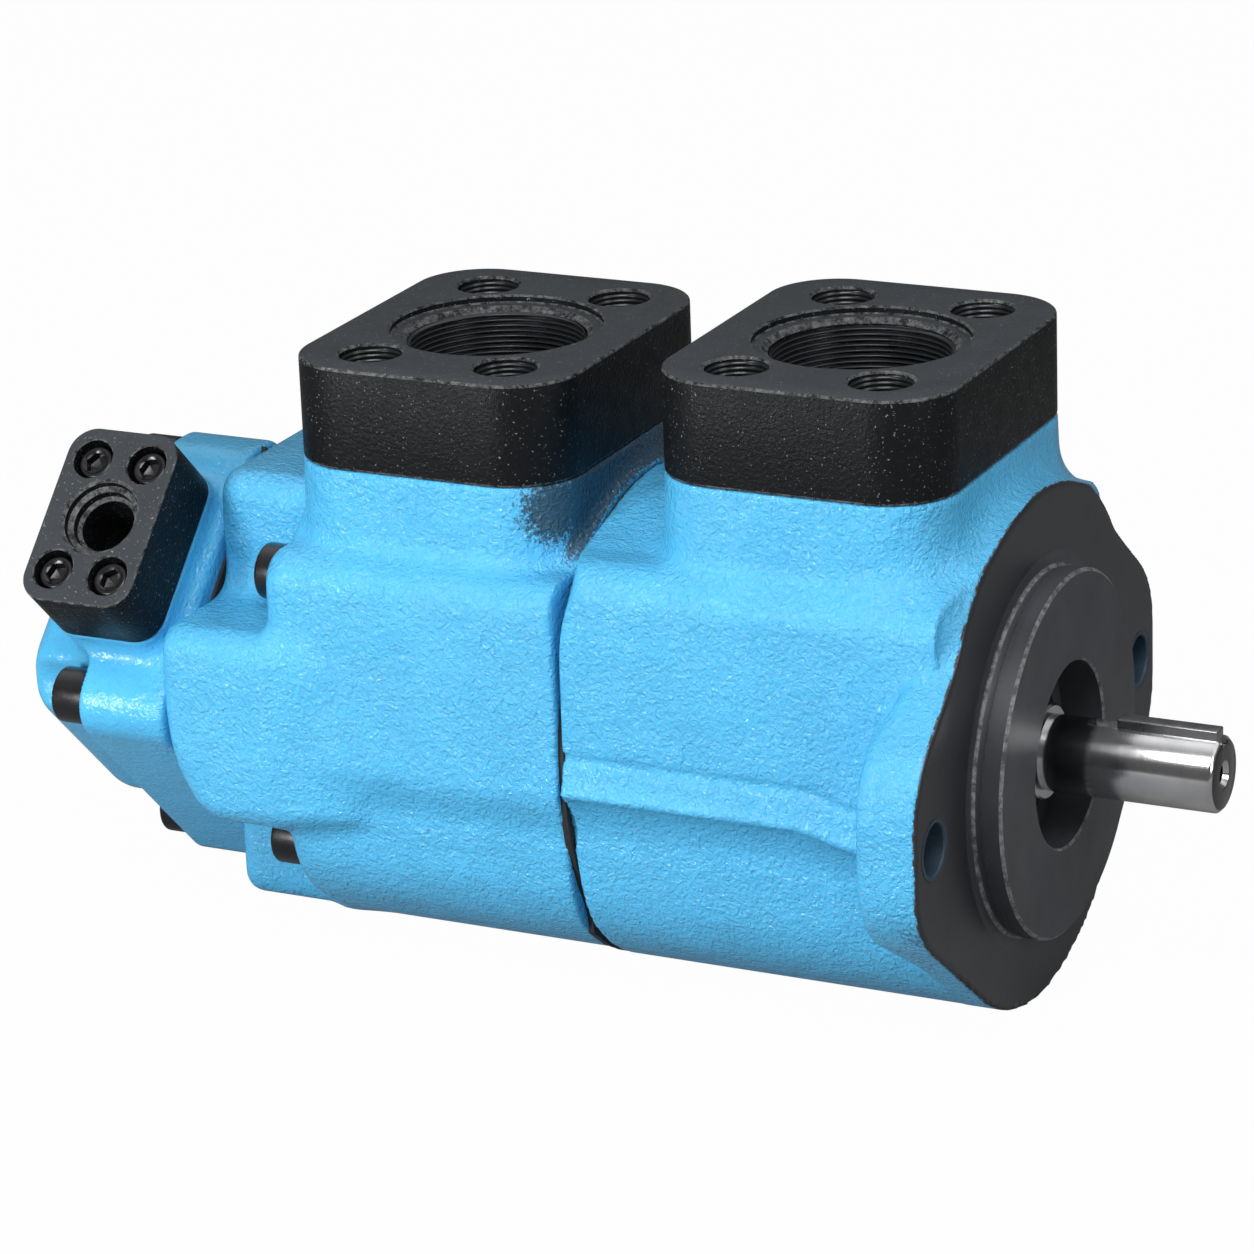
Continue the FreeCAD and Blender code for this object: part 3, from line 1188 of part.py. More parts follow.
def cam_ring(label, start, end, outside, minor, major, places):
    """Ring whose inner contour has two lobes: radius = mean + stroke times cos 2a, a from +Z."""
    mean = (minor.value + major.value) / 2
    stroke = (major.value - minor.value) / 2
    points = []
    for step in range(48):
        angle = math.radians(7.5 * step)
        radius = mean + stroke * math.cos(2 * angle)
        points.append(Vector(-start.value, radius * math.sin(angle), radius * math.cos(angle)))
    contour = Part.BSplineCurve()
    contour.interpolate(points, PeriodicFlag=True)
    inner = Part.Wire([contour.toShape()])
    rim = Part.makeCircle(outside.value, Vector(-start.value, 0, 0), Vector(1, 0, 0))
    face = Part.Face([Part.Wire([rim]), inner])
    face.validate()
    ring = face.extrude(Vector(start.value - end.value, 0, 0))
    for across, up in places:
        place = Vector(-start.value, as_size(across).value, as_size(up).value)
        hole = Part.makeCylinder(d.pin_radius.value, (end - start).value, place, Vector(-1, 0, 0))
        ring = ring.cut(hole)
    feature = doc.addObject("Part::Feature", label)
    feature.Label = label
    feature.Shape = ring
    feature.Placement = Placement()


def seal_rings():
    """Rings between the spigots and their bores, and behind the pressure plates."""
    rings = [
        ("spigot_oring", ring_section(spigot_ring_start, d.front_bore_radius)),
        ("cover_oring", ring_section(cover_ring_start, d.rear_bore_radius)),
        ("front_plate_seal", plate_seal_band(front_stack_end, d.front_chamber_outer, d.front_bore_radius)),
        ("rear_plate_seal", plate_seal_band(rear_stack_end, d.rear_chamber_radius, d.rear_bore_radius)),
    ]
    for label, section in rings:
        body = new_body(label)
        turned(body, "ring", section)
        soften_ring(body)


def front_cartridge():
    widths = (d.front_side_plate, d.front_cam_width, d.front_pressure_plate)
    radii = (d.front_bore_radius, d.front_cam_radius, d.front_cam_minor, d.front_cam_major)
    spline = (d.front_core_radius, d.front_tooth_top, d.front_tooth_width)
    cartridge("front", d.front_stack_start, widths, radii, spline)


def rear_cartridge():
    widths = (d.rear_side_plate, d.rear_cam_width, d.rear_pressure_plate)
    radii = (d.rear_bore_radius, d.rear_cam_radius, d.rear_cam_minor, d.rear_cam_major)
    spline = (d.rear_core_radius, d.rear_tooth_top, d.rear_tooth_width)
    cartridge("rear", d.rear_stack_start, widths, radii, spline)


def bearings():
    ball_bearing(
        "front_bearing",
        d.front_bearing_start,
        d.front_bearing_width,
        d.journal_radius,
        d.front_bearing_radius,
        d.front_ball_radius,
        FRONT_BALLS,
    )
    ball_bearing(
        "rear_bearing",
        d.rear_bearing_start,
        d.rear_bearing_width,
        d.rear_bearing_bore,
        d.rear_bearing_radius,
        d.rear_ball_radius,
        REAR_BALLS,
    )
    bore_clip("front_bearing_clip", front_bearing_end, d.front_bearing_radius, d.clip_thickness)
    start = d.front_bearing_start - d.clip_thickness
    shaft_clip("front_shaft_clip", start, d.journal_radius - d.clip_bite, d.clip_thickness)
    shaft_clip("rear_shaft_clip", rear_bearing_end, d.rear_bearing_bore - d.edge_break, small_clip)


def check_document():
    """Every object recomputed without fault, every sub-part a valid solid."""
    for item in doc.Objects:
        if "Invalid" in item.State or "Error" in item.State:
            raise RuntimeError(f"{item.Name} is {item.State}")
    nodes = [item for item in doc.Objects if item.TypeId in ("PartDesign::Body", "Part::Feature")]
    for node in nodes:
        if node.Shape.isNull() or not node.Shape.isValid() or not node.Shape.Solids:
            raise RuntimeError(f"{node.Label} has no valid solid")
    return nodes


def export(nodes):
    os.makedirs("parts", exist_ok=True)
    for node in nodes:
        node.Shape.exportStep(f"parts/{node.Label}.step")
        print(node.Label, len(node.Shape.Solids), round(node.Shape.Volume / 1000, 1), "cm3")


front_body()
middle_body()
rear_cover()
gaskets()
port_blocks_and_screws()
housing_bolts()
drive_shaft()
shaft_key()
shaft_seal()
bearings()
centre_bush()
front_cartridge()
rear_cartridge()
seal_rings()
doc.recompute()
export(check_document())
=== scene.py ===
import json
import math
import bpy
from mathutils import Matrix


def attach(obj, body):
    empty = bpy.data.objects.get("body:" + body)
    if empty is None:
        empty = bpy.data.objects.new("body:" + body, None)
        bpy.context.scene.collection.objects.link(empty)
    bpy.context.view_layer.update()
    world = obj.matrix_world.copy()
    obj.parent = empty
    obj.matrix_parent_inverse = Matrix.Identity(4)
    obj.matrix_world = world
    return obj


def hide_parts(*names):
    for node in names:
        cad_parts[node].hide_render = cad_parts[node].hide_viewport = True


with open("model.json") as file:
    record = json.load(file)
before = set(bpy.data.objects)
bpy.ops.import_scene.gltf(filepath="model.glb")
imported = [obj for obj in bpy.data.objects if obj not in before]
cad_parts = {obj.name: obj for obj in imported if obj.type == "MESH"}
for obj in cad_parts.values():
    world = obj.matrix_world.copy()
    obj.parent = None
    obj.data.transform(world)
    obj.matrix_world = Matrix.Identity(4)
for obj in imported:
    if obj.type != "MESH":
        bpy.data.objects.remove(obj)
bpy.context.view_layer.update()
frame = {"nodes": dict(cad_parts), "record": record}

from types import SimpleNamespace

import bmesh
import bpy
import numpy as np
from bpy.props import FloatProperty, FloatVectorProperty, PointerProperty
from bpy.types import Operator, Panel, PropertyGroup
from mathutils import Matrix

bl_info = {
    "name": "Double Vane Pump",
    "version": (1, 0, 0),
    "blender": (4, 5, 0),
    "location": "View3D > Sidebar > Pump",
    "description": "Builds the visible surfaces of a double vane pump around its frame",
    "category": "Add Mesh",
}

MM = 0.001
FULL_TURN = 2.0 * math.pi
HOUSING = "housing"
ROTATING = "rotating_group"
ROUND_STEPS = 96
POLE = 0.01
SHARP_ANGLE = math.radians(32.0)


# Settings

def length(name, description, size, low=0.0):
    """A length property given in millimetres and kept in metres."""
    return FloatProperty(
        name=name, description=description, default=size * MM, min=low, unit="LENGTH", precision=5
    )


def colour(name, description, value):
    """A colour property."""
    return FloatVectorProperty(
        name=name, description=description, default=value, subtype="COLOR", size=3, min=0.0, max=1.0
    )


def view_angle(name, description, degrees):
    """An angle property given in degrees and kept in radians."""
    return FloatProperty(name=name, description=description, default=math.radians(degrees), subtype="ANGLE")


def lamp_power(name, description, watts):
    """A power property of a lamp."""
    return FloatProperty(name=name, description=description, default=watts, min=0.0, subtype="POWER")


class CastingSettings(PropertyGroup):
    """Sizes and paint of the three iron castings."""

    cell: length("Surface cell", "Grid cell from which the cast surfaces are worked out", 1.8)
    flange_radius: length("Flange radius", "Round part of the mounting flange", 106.4)
    ear_reach: length("Ear reach", "Shaft axis to the end of a mounting ear", 133.0)
    ear_thickness: length("Ear thickness", "Mounting ear along the shaft", 27.0)
    front_end: length("Front body end", "Depth of the front body's parting face", 172.0)
    front_half_width: length("Front half width", "Front body across its side walls", 92.0)
    front_shoulder: length("Front shoulder", "Height of the front body's shoulder", 89.0)
    front_port: length("Front port depth", "Centre of the front suction port", 75.6)
    front_pad: length("Front pad height", "Face under the front suction block", 124.4)
    middle_start: length("Middle body start", "Depth of the middle body's front face", 172.8)
    middle_seat: length("Body bolt seat", "Depth of the shoulder under the body bolts", 307.0)
    middle_end: length("Middle body end", "Depth of the middle body's rear face", 355.0)
    middle_half_width: length("Middle half width", "Middle body across its side walls", 94.2)
    middle_shoulder: length("Middle shoulder", "Height of the middle body's shoulder", 79.5)
    rear_port: length("Rear port depth", "Centre of the rear suction port", 240.3)
    rear_pad: length("Rear pad height", "Face under the rear suction block", 114.2)
    lobe_half_width: length("Lobe half width", "Rear lobes of the middle body", 43.0)
    lobe_reach: length("Lobe reach", "Rear lobes of the middle body", 99.5)
    cover_start: length("Cover start", "Depth of the rear cover's front face", 355.8)
    cover_seat: length("Cover bolt seat", "Depth of the seats of the cover bolts", 398.0)
    cover_end: length("Cover end", "Depth of the rear cover's end", 439.6)
    outlet_depth: length("Rear outlet depth", "Centre of the slanted outlet", 388.0)
    outlet_pad: length("Rear outlet pad", "Face under the slanted outlet block", 83.8)
    far_outlet_depth: length("Far outlet depth", "Centre of the outlet on the far side", 141.0)
    far_outlet_pad: length("Far outlet pad", "Face under the far outlet block", 104.0)
    paint: colour("Paint", "Sky blue enamel over the castings", (0.080, 0.46, 0.79))
    # This colour paints soot smears and also painted shade in the gap between the front and middle necks.
    soot_and_shade: colour("Soot and shade", "Dark smear on the paint", (0.02, 0.035, 0.05))


class PortSettings(PropertyGroup):
    """Sizes and finish of the port blocks and their screws."""

    suction_length: length("Suction block length", "Along the shaft", 124.9)
    suction_width: length("Suction block width", "Across the shaft", 157.7)
    suction_height: length("Suction block height", "Block from pad to top", 43.3)
    suction_corner: length("Suction block corner", "Radius of the upright edges", 29.0)
    suction_along: length("Suction screws along", "Screw spacing along the shaft", 61.9)
    suction_across: length("Suction screws across", "Screw spacing across the shaft", 106.4)
    thread_crest: length("Thread crest", "Radius of the pipe thread's crests", 36.2)
    thread_root: length("Thread root", "Radius of the pipe thread's roots", 37.7)
    thread_pitch: length("Thread pitch", "Pitch of the pipe thread", 2.309)
    recess_radius: length("Port recess", "Radius of the shallow recess", 44.5)
    recess_depth: length("Port recess depth", "Depth of the shallow recess", 3.3)
    outlet_length: length("Outlet block length", "Along the shaft", 52.5)
    outlet_width: length("Outlet block width", "Across its screws", 81.5)
    outlet_height: length("Outlet block height", "Block from pad to face", 34.0)
    outlet_corner: length("Outlet block corner", "Radius of the block's edges", 12.0)
    outlet_along: length("Outlet screws along", "Short screw spacing", 26.2)
    outlet_across: length("Outlet screws across", "Long screw spacing", 52.4)
    outlet_socket: length("Outlet socket", "Radius of the pipe socket", 17.2)
    outlet_bore: length("Outlet bore", "Radius of the outlet bore", 12.0)
    large_screw: length("Large screw", "Shank radius of the M16 screws", 8.0)
    small_screw: length("Small screw", "Shank radius of the M10 screws", 5.0)
    oxide: colour("Black oxide", "Face of the blocks", (0.032, 0.036, 0.041))


class ShaftSettings(PropertyGroup):
    """Sizes and finish of the drive shaft, its key, the pilot and the seal."""

    reach: length("Shaft reach", "Shaft beyond the mounting face", 78.2)
    radius: length("Shaft radius", "Drive end", 15.875)
    collar: length("Collar radius", "Collar at the inner end of the drive end", 19.9)
    key_width: length("Key width", "Square key", 7.94)
    key_top: length("Key top", "Top of the key above the axis", 19.3)
    key_start: length("Key start", "Inner end of the key", 34.0)
    keyway_start: length("Keyway start", "Inner end of the keyway", 20.5)
    pilot_radius: length("Pilot radius", "Centring spigot", 76.2)
    pilot_length: length("Pilot length", "Centring spigot", 12.7)
    throat_radius: length("Throat radius", "Opening in the centring spigot", 38.6)
    steel: colour("Steel", "Ground and polished steel", (0.60, 0.60, 0.61))
    machined: colour("Machined iron", "Oiled machined iron", (0.050, 0.054, 0.062))


class StageSettings(PropertyGroup):
    """Camera, lamps and floor."""

    lens: FloatProperty(name="Lens", description="Focal length in millimetres", default=147.1, min=1.0)
    azimuth: view_angle("Azimuth", "Camera round the pump", 26.25)
    elevation: view_angle("Elevation", "Camera above the pump", 19.56)
    roll: view_angle("Roll", "Camera about its own axis", -2.17)
    distance: length("Distance", "Camera to the point that it looks at", 2146.5)
    floor_height: length("Floor height", "Height of the floor", -106.9, low=-1.0)
    key_light: lamp_power("Key light", "Power of the main lamp", 30.0)
    glint_light: lamp_power("Glint light", "Power of the lamp on the side walls", 20.0)
    fill_light: lamp_power("Fill light", "Power of the front lamp", 12.0)


SETTINGS = {
    "pump_castings": CastingSettings,
    "pump_ports": PortSettings,
    "pump_shaft": ShaftSettings,
    "pump_stage": StageSettings,
}


def in_mm(group):
    """The lengths of a property group as plain numbers in millimetres."""
    names = [name for name in group.__annotations__ if isinstance(getattr(group, name), float)]
    return SimpleNamespace(**{name: getattr(group, name) / MM for name in names})


# Meshes

def add_mesh(name, points, faces, sharp=SHARP_ANGLE, closed=True):
    """A smooth mesh object from points in millimetres and faces of point numbers.

    Edges steeper than the sharp angle stay sharp, and a closed mesh is turned outwards.
    """
    mesh = bpy.data.meshes.new(name)
    mesh.from_pydata((np.asarray(points) * MM).tolist(), [], [list(face) for face in faces])
    mesh.validate()
    if closed:
        work = bmesh.new()
        work.from_mesh(mesh)
        bmesh.ops.recalc_face_normals(work, faces=work.faces)
        work.to_mesh(mesh)
        work.free()
    piece = bpy.data.objects.new(name, mesh)
    bpy.context.scene.collection.objects.link(piece)
    mesh.shade_smooth()
    if sharp is not None:
        mesh.set_sharp_from_angle(angle=sharp)
    return piece


def grid_faces(rows, columns, wrap_rows=False, wrap_columns=False):
    """Quads that join a grid of points numbered row by row."""
    row = np.arange(rows if wrap_rows else rows - 1)
    column = np.arange(columns if wrap_columns else columns - 1)
    r, c = [item.ravel() for item in np.meshgrid(row, column, indexing="ij")]
    r_next = (r + 1) % rows
    c_next = (c + 1) % columns
    corners = [r * columns + c, r * columns + c_next, r_next * columns + c_next, r_next * columns + c]
    return np.stack(corners, axis=1)


def lathe(profile, steps=ROUND_STEPS, centre=(0.0, 0.0)):
    """Points and faces of a profile turned about the shaft axis.

    A profile row is (x, r); the point at angle a is (x, r sin a, r cos a), moved by the centre.
    The ends stay open, so a solid's profile starts and ends at the pole radius, next to the axis.
    """
    profile = np.asarray(profile, float)
    angle = np.arange(steps) * FULL_TURN / steps
    x, r = profile[:, :1], profile[:, 1:]
    y = r * np.sin(angle) + centre[0]
    z = r * np.cos(angle) + centre[1]
    points = np.stack([x + 0.0 * y, y, z], axis=-1).reshape(-1, 3)
    faces = grid_faces(len(profile), steps, wrap_columns=True)
    return points, faces


def closed_lathe(profile, steps=ROUND_STEPS, centre=(0.0, 0.0)):
    """A turned profile whose two ends are closed with flat discs."""
    points, faces = lathe(profile, steps, centre)
    last = (len(profile) - 1) * steps
    ends = [list(range(steps))[::-1], list(range(last, last + steps))]
    return points, faces.tolist() + ends


def ring_lathe(profile, steps=ROUND_STEPS, centre=(0.0, 0.0)):
    """A closed section turned into a ring."""
    points, _ = lathe(profile, steps, centre)
    return points, grid_faces(len(profile), steps, wrap_rows=True, wrap_columns=True)


def turn_points(points, angle, axis="X", move=(0.0, 0.0, 0.0)):
    """Points turned about an axis through the origin and then moved."""
    turn = np.array(Matrix.Rotation(angle, 3, axis))
    return np.asarray(points) @ turn.T + np.asarray(move)


def stand_up(points):
    """Points of a shape turned about X, laid over so that its X becomes Z."""
    points = np.asarray(points)
    return np.stack([points[:, 1], points[:, 2], points[:, 0]], axis=1)


def join_shapes(shapes):
    """Several (points, faces) shapes as one."""
    all_points, all_faces, start = [], [], 0
    for points, faces in shapes:
        all_points.append(points)
        for face in np.asarray(faces, dtype=object).tolist():
            all_faces.append([number + start for number in face])
        start += len(points)
    return np.concatenate(all_points), all_faces


def rounded_outline(half_u, half_v, corner, steps=12):
    """Points round a rectangle with round corners: each corner is an arc about its own centre."""
    quarter = np.linspace(0.0, math.pi / 2, steps)
    loops = []
    for turn, (su, sv) in enumerate([(1, 1), (-1, 1), (-1, -1), (1, -1)]):
        angle = quarter + turn * math.pi / 2
        u = su * (half_u - corner) + corner * np.cos(angle)
        v = sv * (half_v - corner) + corner * np.sin(angle)
        loops.append(np.stack([u, v], axis=1))
    return np.concatenate(loops)


def rounded_block(half_u, half_v, low, high, corner, edge, steps=12):
    """A block standing on Z: its outline is carried up, drawn in by a quarter circle at both ends."""
    bend = np.linspace(0.0, math.pi / 2, 4)
    levels = [(low + edge - edge * math.cos(a), edge - edge * math.sin(a)) for a in bend]
    levels += [(high - edge + edge * math.sin(a), edge - edge * math.cos(a)) for a in bend]
    rings = []
    for height, inset in levels:
        ring = rounded_outline(half_u - inset, half_v - inset, max(corner - inset, 0.1), steps)
        rings.append(np.column_stack([ring, np.full(len(ring), height)]))
    count = len(rings[0])
    faces = grid_faces(len(rings), count, wrap_columns=True).tolist()
    last = (len(rings) - 1) * count
    faces += [list(range(count))[::-1], list(range(last, last + count))]
    return np.concatenate(rings), faces


def carve(piece, shape):
    """Cut a shape out of a piece."""
    cutter = add_mesh("cutter", *shape)
    modifier = piece.modifiers.new("cut", "BOOLEAN")
    modifier.operation = "DIFFERENCE"
    modifier.solver = "EXACT"
    modifier.object = cutter
    bpy.context.view_layer.update()
    graph = bpy.context.evaluated_depsgraph_get()
    mesh = bpy.data.meshes.new_from_object(piece.evaluated_get(graph))
    piece.modifiers.clear()
    old = piece.data
    piece.data = mesh
    bpy.data.meshes.remove(old)
    bpy.data.objects.remove(cutter)
    mesh.shade_smooth()
    mesh.set_sharp_from_angle(angle=SHARP_ANGLE)
    if not mesh.polygons:
        raise RuntimeError(f"cutting {piece.name} left nothing")


def mark_faces(piece, upward):
    """Record on each face whether it looks along a direction, as a ground face, or slopes, as an edge."""
    mesh = piece.data
    normals = np.empty(len(mesh.polygons) * 3)
    mesh.polygons.foreach_get("normal", normals)
    share = normals.reshape(-1, 3) @ np.asarray(upward)
    sloping = (np.abs(share) > 0.2) & (np.abs(share) < 0.93)
    for name, value in (("ground", ease(share, 0.9, 0.97)), ("edge", sloping.astype(float))):
        mesh.attributes.new(name, "FLOAT", "FACE").data.foreach_set("value", value)


def dress(piece, body, node, slot, finish=None):
    """Give a piece its body and its slot's finish or another, and hide the frame node that it stands for."""
    piece.data.materials.clear()
    piece.data.materials.append(materials()[finish or SLOT_FINISH[slot]])
    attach(piece, body)
    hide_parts(node)


def add_piece(name, shape, body, node, slot, finish=None, **options):
    """A dressed piece made straight from a shape."""
    dress(add_mesh(name, *shape, **options), body, node, slot, finish)


# Cast surfaces: a field is negative inside the iron and grows with the distance outside it

def soft_join(a, b, k):
    """The lower of two fields, blended over k with a parabola, which gives a cast fillet."""
    h = np.clip(0.5 + 0.5 * (b - a) / k, 0.0, 1.0)
    return b + (a - b) * h - k * h * (1.0 - h)


def soft_meet(a, b, k):
    """The higher of two fields, blended over k, which gives a rounded edge."""
    return -soft_join(-a, -b, k)


def ease(value, low, high):
    """0 below low, 1 above high, and a smooth cubic between."""
    t = np.clip((value - low) / (high - low), 0.0, 1.0)
    return t * t * (3.0 - 2.0 * t)


def rounded_rectangle(u, v, half_u, half_v, corner):
    """Distance to a rectangle with round corners, in a plane."""
    du = np.abs(u) - half_u + corner
    dv = np.abs(v) - half_v + corner
    outside = np.hypot(np.maximum(du, 0.0), np.maximum(dv, 0.0))
    return outside + np.minimum(np.maximum(du, dv), 0.0) - corner


def between(value, low, high):
    """Distance to the slab between two levels."""
    return np.maximum(low - value, value - high)


CORNER_SHIFTS = np.array([[i, j, k] for i in (0, 1) for j in (0, 1) for k in (0, 1)])
CELL_EDGES = [
    (a, b)
    for a in range(8)
    for b in range(a + 1, 8)
    if np.abs(CORNER_SHIFTS[a] - CORNER_SHIFTS[b]).sum() == 1
]
SURFACE_PASSES = 4
SLOPE_STEP = 0.2


def field_surface(field, low, high, cell):
    """Points and quads of the surface on which a field is zero.

    The field is worked out on a cubic grid. Each cell that the surface crosses gets one point, the
    mean of the crossings on its edges, and each crossed grid edge gets one quad between the four
    cells round it. The points then slide down the field's slope onto the surface.
    """
    axes = [np.arange(a, b + cell, cell) for a, b in zip(low, high)]
    value = field(*np.meshgrid(*axes, indexing="ij"))
    inside = value < 0.0
    shape = np.array(value.shape) - 1
    count = np.zeros(shape, np.int8)
    for i, j, k in CORNER_SHIFTS:
        count += inside[i:i + shape[0], j:j + shape[1], k:k + shape[2]]
    cells = np.argwhere((count > 0) & (count < 8))
    number = np.full(shape, -1, np.int64)
    number[tuple(cells.T)] = np.arange(len(cells))
    corners = [value[tuple((cells + shift).T)] for shift in CORNER_SHIFTS]
    total = np.zeros((len(cells), 3))
    crossings = np.zeros((len(cells), 1))
    for a, b in CELL_EDGES:
        crossed = (corners[a] < 0.0) != (corners[b] < 0.0)
        span = np.where(crossed, corners[a] - corners[b], 1.0)
        share = (corners[a] / span)[:, None]
        place = CORNER_SHIFTS[a] + share * (CORNER_SHIFTS[b] - CORNER_SHIFTS[a])
        total += np.where(crossed[:, None], place, 0.0)
        crossings += crossed[:, None]
    points = (cells + total / crossings) * cell + np.array([axis[0] for axis in axes])

    for _ in range(SURFACE_PASSES):
        here = field(*points.T)
        slope = np.empty_like(points)
        for axis in range(3):
            shift = np.zeros(3)
            shift[axis] = SLOPE_STEP
            slope[:, axis] = (field(*(points + shift).T) - field(*(points - shift).T)) / (2 * SLOPE_STEP)
        steep = np.maximum((slope ** 2).sum(axis=1), 0.05)
        step = np.clip(here / steep, -cell / 2, cell / 2)
        points -= slope * step[:, None]

    quads = []
    for axis in range(3):
        first, second = (axis + 1) % 3, (axis + 2) % 3
        start = [slice(None)] * 3
        end = [slice(None)] * 3
        start[axis] = slice(0, -1)
        end[axis] = slice(1, None)
        here, there = inside[tuple(start)], inside[tuple(end)]
        for going_out in (True, False):
            crossed = np.argwhere((here != there) & (here == going_out))
            keep = np.ones(len(crossed), bool)
            for side in (first, second):
                keep &= (crossed[:, side] > 0) & (crossed[:, side] < shape[side])
            crossed = crossed[keep]
            ring = []
            for a, b in ((-1, -1), (0, -1), (0, 0), (-1, 0)):
                shift = np.zeros(3, int)
                shift[first], shift[second] = a, b
                ring.append(number[tuple((crossed + shift).T)])
            quads.append(np.stack(ring if going_out else ring[::-1], axis=1))
    quads = np.concatenate(quads)
    return points, quads[(quads >= 0).all(axis=1)]


# Sizes of the cast surfaces that follow from the fit of the pieces, in millimetres

MACHINED_EDGE = 1.6
NECK_FOOT = 40.0
MOUNTING_HOLE = 114.3
COVER_BOLT = 80.0
BODY_BOLT = 84.0 * math.sqrt(0.5)
RIB_SHIFT = 6.0
LEDGE = 2.3
FRONT_WAIST = 85.5
MIDDLE_WAIST = 87.5
LOBE_START = 268.0
LOBE_TAPER_END = 306.0
OUTLET_BORE_ROOM = 14.0
FRONT_BARREL = 104.4
MIDDLE_BARREL = 103.8
SIDE_CURVE = 0.0044
FLANGE_BACK = 14.0
EAR_HALF_HEIGHT = 86.0
EAR_LEAN = 0.463
TAIL_HALF = 59.0
TAIL_START = 380.0
BOLT_POCKET = 13.6
GASKET_HOLE = 60.0


def ledge_line(z, half, ledge, waist):
    """Half width at each height: flat side, crease, ledge down to a rib, waist, boss of the lower bolt."""
    crease = 1.1 * np.exp(-((z - 7.0) / 2.2) ** 2)
    rib = 1.3 * np.exp(-((z + 7.5) / 2.8) ** 2)
    stepped = half + ledge * np.clip((6.0 - z) / 13.0, 0.0, 1.0) - crease + rib
    under = np.clip((-z - 8.5) / 22.0, 0.0, 1.0)
    return stepped - (half + ledge - waist) * under * (2.0 - under) + 2.0 * ease(-z, 38.0, 60.0)


def waist_line(z, half, waist):
    """Half width at each height: flat side, soft waist, boss of the lower bolt."""
    return half - (half - waist) * ease(-z, 9.0, 32.0) + 2.0 * ease(-z, 38.0, 60.0)


def joint_limit(y, z, away, length):
    """Room that both barrels leave at their joint: rounded rims down to a narrower outline."""
    disc = np.hypot(y, z + 3.0) - 103.2
    outline = soft_meet(disc, np.abs(y) - 91.0 + SIDE_CURVE * z * z, 8.0)
    rim = np.hypot(np.maximum(outline, 0.0) / 36.0, np.maximum(1.0 - away / length, 0.0)) - 1.0
    return rim * length - 6.0 * np.maximum(away - length, 0.0)


def suction_neck(along, across, z, spread, p):
    """Neck under a suction block: the block's outline, widened by the spread towards its foot."""
    neck = rounded_rectangle(
        along, across, p.suction_length / 2 + spread, p.suction_width / 2 + spread, p.suction_corner
    )
    return np.maximum(neck, NECK_FOOT - z)


def outlet_pad(along, across, p):
    """Outline of the pad under an outlet block."""
    return rounded_rectangle(along, across, p.outlet_length / 2, p.outlet_width / 2, p.outlet_corner)


def front_casting_field(s, p):
    """Barrel, side walls, shoulder, suction neck, ears, flange and far outlet pad, less the bores."""
    def field(x, y, z):
        depth = -x
        side = np.abs(y)
        curl = RIB_SHIFT * ease(x, -70.0, -40.0)
        wall = side - ledge_line(z + curl, s.front_half_width, LEDGE, FRONT_WAIST)
        barrel = soft_meet(np.hypot(y, z + 2.0) - FRONT_BARREL, wall, 8.0 + 10.0 * ease(-z, 20.0, 50.0))
        shoulder = rounded_rectangle(y, z - 50.0, s.front_half_width, s.front_shoulder - 50.0, 16.0)
        shoulder = np.maximum(shoulder, 8.0 - depth)
        iron = soft_join(barrel, shoulder, 0.1 + 12.0 * ease(80.0 - side, 0.0, 20.0))
        rim_length = 6.0 + 18.0 * ease(z, 35.0, 80.0)
        iron = soft_meet(iron, joint_limit(y, z, s.front_end - depth, rim_length), MACHINED_EDGE)
        neck = suction_neck(depth - s.front_port, y, z, 0.03 * (s.front_pad - z), p)
        ear_slope = 0.619 * side + 0.785 * np.abs(z) - s.flange_radius
        ear_outline = soft_meet(side - s.ear_reach, ear_slope, 16.0)
        ear_outline = soft_meet(ear_outline, np.abs(z) - EAR_HALF_HEIGHT, 10.0)
        leaning = (depth + EAR_LEAN * (np.abs(z) - 42.0) - s.ear_thickness) / 1.1
        ear_back = np.maximum(depth - s.ear_thickness, leaning)
        ear = soft_meet(ear_outline, ear_back, 7.0)
        flange = soft_meet(np.hypot(y, z) - s.flange_radius, depth - FLANGE_BACK, 8.0)
        pad = outlet_pad(depth - s.far_outlet_depth, z, p)
        pad = np.maximum(pad, between(y, 0.0, s.far_outlet_pad))
        blend = 4.5 + 15.0 * ease(z, 20.0, 95.0) * ease(96.0 - side, 0.0, 20.0)
        iron = soft_join(iron, soft_join(ear, flange, 8.0), blend)
        iron = soft_join(iron, neck, 8.0 + 8.0 * ease(x, -60.0, -20.0))
        iron = soft_join(iron, pad, 8.0)
        iron = soft_meet(iron, x, MACHINED_EDGE)
        gap = 0.6 + 5.0 * ease(-z, 15.0, 95.0) * ease(np.hypot(y, z), 78.0, 88.0)
        iron = soft_meet(iron, depth - s.front_end + gap, 0.6)
        iron = soft_meet(iron, z - s.front_pad, MACHINED_EDGE)
        limit = np.minimum(np.hypot(y, z) - s.flange_radius, ear_outline)
        iron = np.where(z < 0.0, np.maximum(iron, limit), iron)
        passage = np.maximum(np.hypot(depth - s.front_port, y) - 35.0, NECK_FOOT - z)
        throat = np.maximum(np.hypot(y, z) - 42.0, depth - 30.0)
        hole = np.hypot(side - MOUNTING_HOLE, z) - 11.0
        outlet = np.maximum(np.hypot(depth - s.far_outlet_depth, z) - OUTLET_BORE_ROOM, 74.0 - y)
        open_space = np.minimum(np.minimum(passage, throat), np.minimum(hole, outlet))
        return soft_meet(iron, -open_space, 1.0)

    return field


